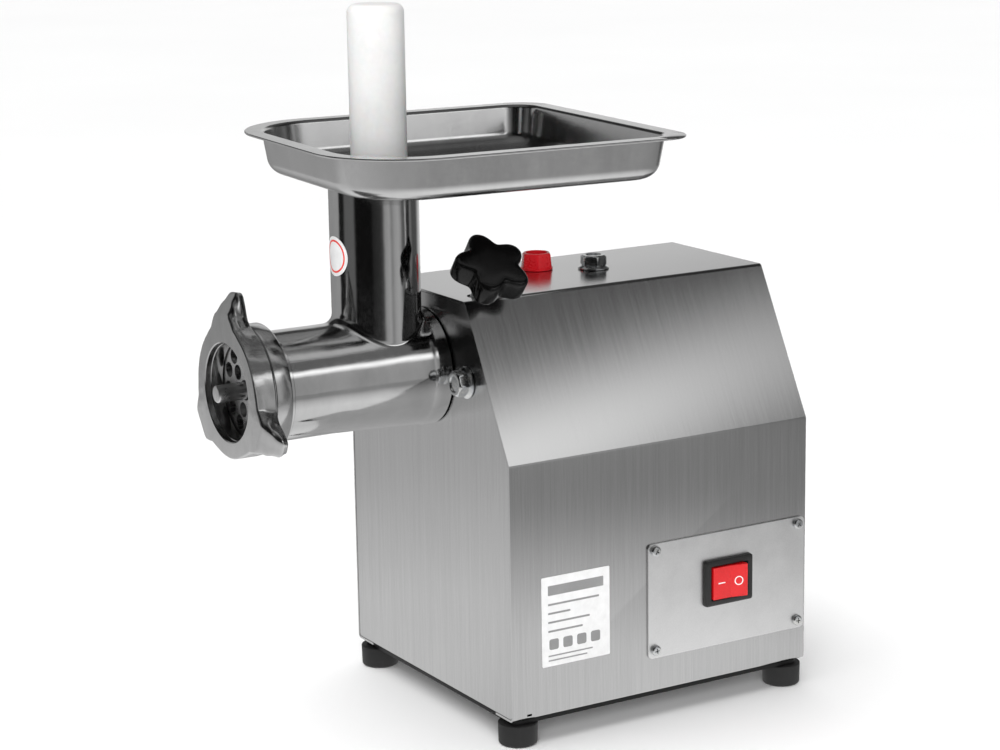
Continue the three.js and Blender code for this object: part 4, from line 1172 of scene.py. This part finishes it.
def glow(name, tree_maker):
    """A material that only gives light, whose colour comes from tree_maker."""
    material = bpy.data.materials.new(name)
    material.use_nodes = True
    tree = material.node_tree
    tree.nodes.remove(tree.nodes["Principled BSDF"])
    emission = tree.nodes.new("ShaderNodeEmission")
    tree.links.new(emission.outputs[0], tree.nodes["Material Output"].inputs["Surface"])
    tree_maker(tree, emission)
    return material


def stage_object(name, points, faces, material):
    mesh = bpy.data.meshes.new(name)
    mesh.from_pydata(points, [], faces)
    mesh.shade_smooth()
    mesh.materials.append(material)
    thing = new_object(name, mesh)
    return thing


def only_seen_by(thing, camera=False, glossy=False):
    thing.visible_camera = camera
    thing.visible_glossy = glossy
    thing.visible_diffuse = False
    thing.visible_transmission = False
    thing.visible_shadow = False
    thing.visible_volume_scatter = False


def bearing(degrees_right):
    """A direction round the object, as a share of a turn, from degrees right of the camera's bearing."""
    return ((VIEW["azimuth"] - 90 + degrees_right) / 360 + 0.5) % 1


# Brightness by degrees right of the camera's bearing: the upright cards, high and low, and the table top.
CARD_R = 0.9
LOW_CARD_TONES = [
    (-180, 0.38), (-166, 0.3), (-158, 0.14), (-140, 0.17), (-108, 0.2), (-96, 0.2), (-92, 0.006),
    (-80, 0.006), (-74, 0.07), (-52, 0.07), (-47, 0.003), (-9, 0.003), (-4, 0.012), (12, 0.02),
    (18, 0.04), (25, 0.2),
    (35, 0.24), (42, 0.15), (51, 0.23), (60, 0.26), (67, 0.2), (73, 0.08), (80, 0.06), (84, 0.3), (88, 0.02),
    (97, 0.02), (102, 0.12), (112, 0.05), (132, 0.05), (150, 0.3),
]
CARD_TONES = [
    (-180, 0.38), (-166, 0.3), (-158, 0.14), (-120, 0.2), (-98, 0.06), (-84, 0.06), (-78, 0.1), (-58, 0.1),
    (-52, 0.02), (9, 0.03), (15, 0.25), (38, 0.3), (46, 0.8), (64, 0.85), (80, 0.4), (90, 0.16), (130, 0.16),
    (150, 0.38),
]
CARD_TOPS = [(-150, 0.62), (-60, 0.62), (30, 0.62), (42, 0.775), (86, 0.775), (94, 0.5), (150, 0.62)]
NEAR_TABLE = [
    (-165, 0.4), (-150, 0.4), (-130, 0.9), (-100, 0.9), (-20, 0.8), (30, 0.9), (70, 0.95), (110, 0.8),
    (150, 0.6),
]
FAR_TABLE = [
    (-165, 0.25), (-150, 0.25), (-130, 0.62), (-100, 0.62), (-20, 0.4), (30, 0.34), (60, 0.32), (110, 0.3),
    (150, 0.3),
]


def make_stage():
    floor_material, tree, shader = surface("floor", Roughness=0.7, Specular_IOR_Level=0.2)
    cloud = noise(tree, (1.5, 1.5, 1.5), detail=2.0)
    tree.links.new(ramp(tree, cloud, [(0.3, 0.9), (0.7, 0.92)]), shader.inputs["Base Color"])
    wide = 6.0
    ground = [(x, y, 0) for x, y in circle(wide, 96)]
    floor = stage_object("floor", ground, [tuple(range(96))], floor_material)
    floor.visible_glossy = False

    # A white sweep that only the camera sees, behind everything.
    def white(tree, emission):
        emission.inputs["Color"].default_value = (1, 1, 1, 1)
        emission.inputs["Strength"].default_value = 1.0
    dome_shape = lathe([(wide, -0.5), (wide, 1), (wide * 0.8, 4), (wide * 0.4, 5.5), (0, 6)], 64)
    dome = stage_object("sweep", *dome_shape, glow("sweep", white))
    only_seen_by(dome, camera=True)

    # The cards and soft boxes round the table, seen only as reflections in the metal.
    def around(tree):
        source = tree.nodes.new("ShaderNodeTexCoord")
        turn = tree.nodes.new("ShaderNodeTexGradient")
        turn.gradient_type = "RADIAL"
        tree.links.new(source.outputs["Object"], turn.inputs["Vector"])
        return source.outputs["Object"], turn.outputs["Fac"]

    def by_bearing(tree, value, stops):
        placed = sorted((bearing(degrees), shade) for degrees, shade in stops)
        placed = [(0.0, placed[-1][1])] + placed + [(1.0, placed[-1][1])]
        return ramp(tree, value, placed)

    def mixed(tree, share, first, second):
        node = tree.nodes.new("ShaderNodeMix")
        node.data_type = "RGBA"
        tree.links.new(share, node.inputs[0])
        tree.links.new(first, node.inputs[6])
        tree.links.new(second, node.inputs[7])
        return node.outputs[2]

    def cards(tree, emission):
        position, turn = around(tree)
        split = tree.nodes.new("ShaderNodeSeparateXYZ")
        tree.links.new(position, split.inputs[0])
        height = spread(tree, split.outputs["Z"], 0.54, 0.66, 0.0, 1.0)
        low_shade = by_bearing(tree, turn, LOW_CARD_TONES)
        high_shade = by_bearing(tree, turn, CARD_TONES)
        shade = mixed(tree, height, low_shade, high_shade)
        # Most cards end low down; the box on the right is taller.
        top = by_bearing(tree, turn, CARD_TOPS)
        above = math_node(tree, "SUBTRACT", split.outputs["Z"], top)
        fade = spread(tree, above, -0.06, 0.06, 2.0, 0.2)
        tree.links.new(shade, emission.inputs["Color"])
        tree.links.new(fade, emission.inputs["Strength"])
    wall = lathe([(CARD_R, 0.001), (CARD_R, 1.6)], 128)
    only_seen_by(stage_object("cards", *wall, glow("cards", cards)), glossy=True)

    # The table top as the metal sees it: bright near the object, darker further off.
    def table(tree, emission):
        position, turn = around(tree)
        distance = tree.nodes.new("ShaderNodeVectorMath")
        distance.operation = "LENGTH"
        tree.links.new(position, distance.inputs[0])
        away = spread(tree, distance.outputs["Value"], 0.22, 0.55, 0.0, 1.0)
        shade = mixed(tree, away, by_bearing(tree, turn, NEAR_TABLE), by_bearing(tree, turn, FAR_TABLE))
        tree.links.new(shade, emission.inputs["Color"])
    rim = [(x, y, 0.0004) for x, y in circle(CARD_R, 96)]
    only_seen_by(stage_object("table_glow", rim, [tuple(range(96))], glow("table_glow", table)), glossy=True)

    world = bpy.data.worlds.new("studio")
    bpy.context.scene.world = world
    world.use_nodes = True
    tree = world.node_tree
    source = tree.nodes.new("ShaderNodeTexCoord")
    split = tree.nodes.new("ShaderNodeSeparateXYZ")
    tree.links.new(source.outputs["Generated"], split.inputs[0])
    lift = spread(tree, split.outputs["Z"], -1, 1, 0, 1)
    shade = ramp(tree, lift, [(0.0, 0.5), (0.5, 0.5), (0.62, 0.45), (0.78, 0.16), (0.9, 0.08), (1.0, 0.14)])
    tree.links.new(shade, tree.nodes["Background"].inputs["Color"])

    sun = bpy.data.lights.new("sky", "SUN")
    sun.energy = 3.1
    sun.angle = math.radians(70)
    light = new_object("sky", sun)
    light.rotation_euler = (math.radians(12), math.radians(-10), 0)
    light.visible_glossy = False

    fill = bpy.data.lights.new("fill", "AREA")
    fill.shape = "RECTANGLE"
    fill.size, fill.size_y = 1.2, 1.0
    fill.energy = 24
    light = new_object("fill", fill)
    light.location = (1.5, -0.9, 0.7)
    light.rotation_euler = (Vector((0, 0, 0.25)) - light.location).to_track_quat("-Z", "Y").to_euler()
    light.visible_glossy = False
    light.visible_camera = False


make_finishes()
make_camera()
make_stage()
make_housing()
make_base()
make_fasteners()
make_controls()
make_labels()
make_head()
make_auger()
make_ring_nut()
make_tray()
make_pusher()
make_clamp()
dress_inner_works()
bpy.context.scene.view_settings.view_transform = "Standard"
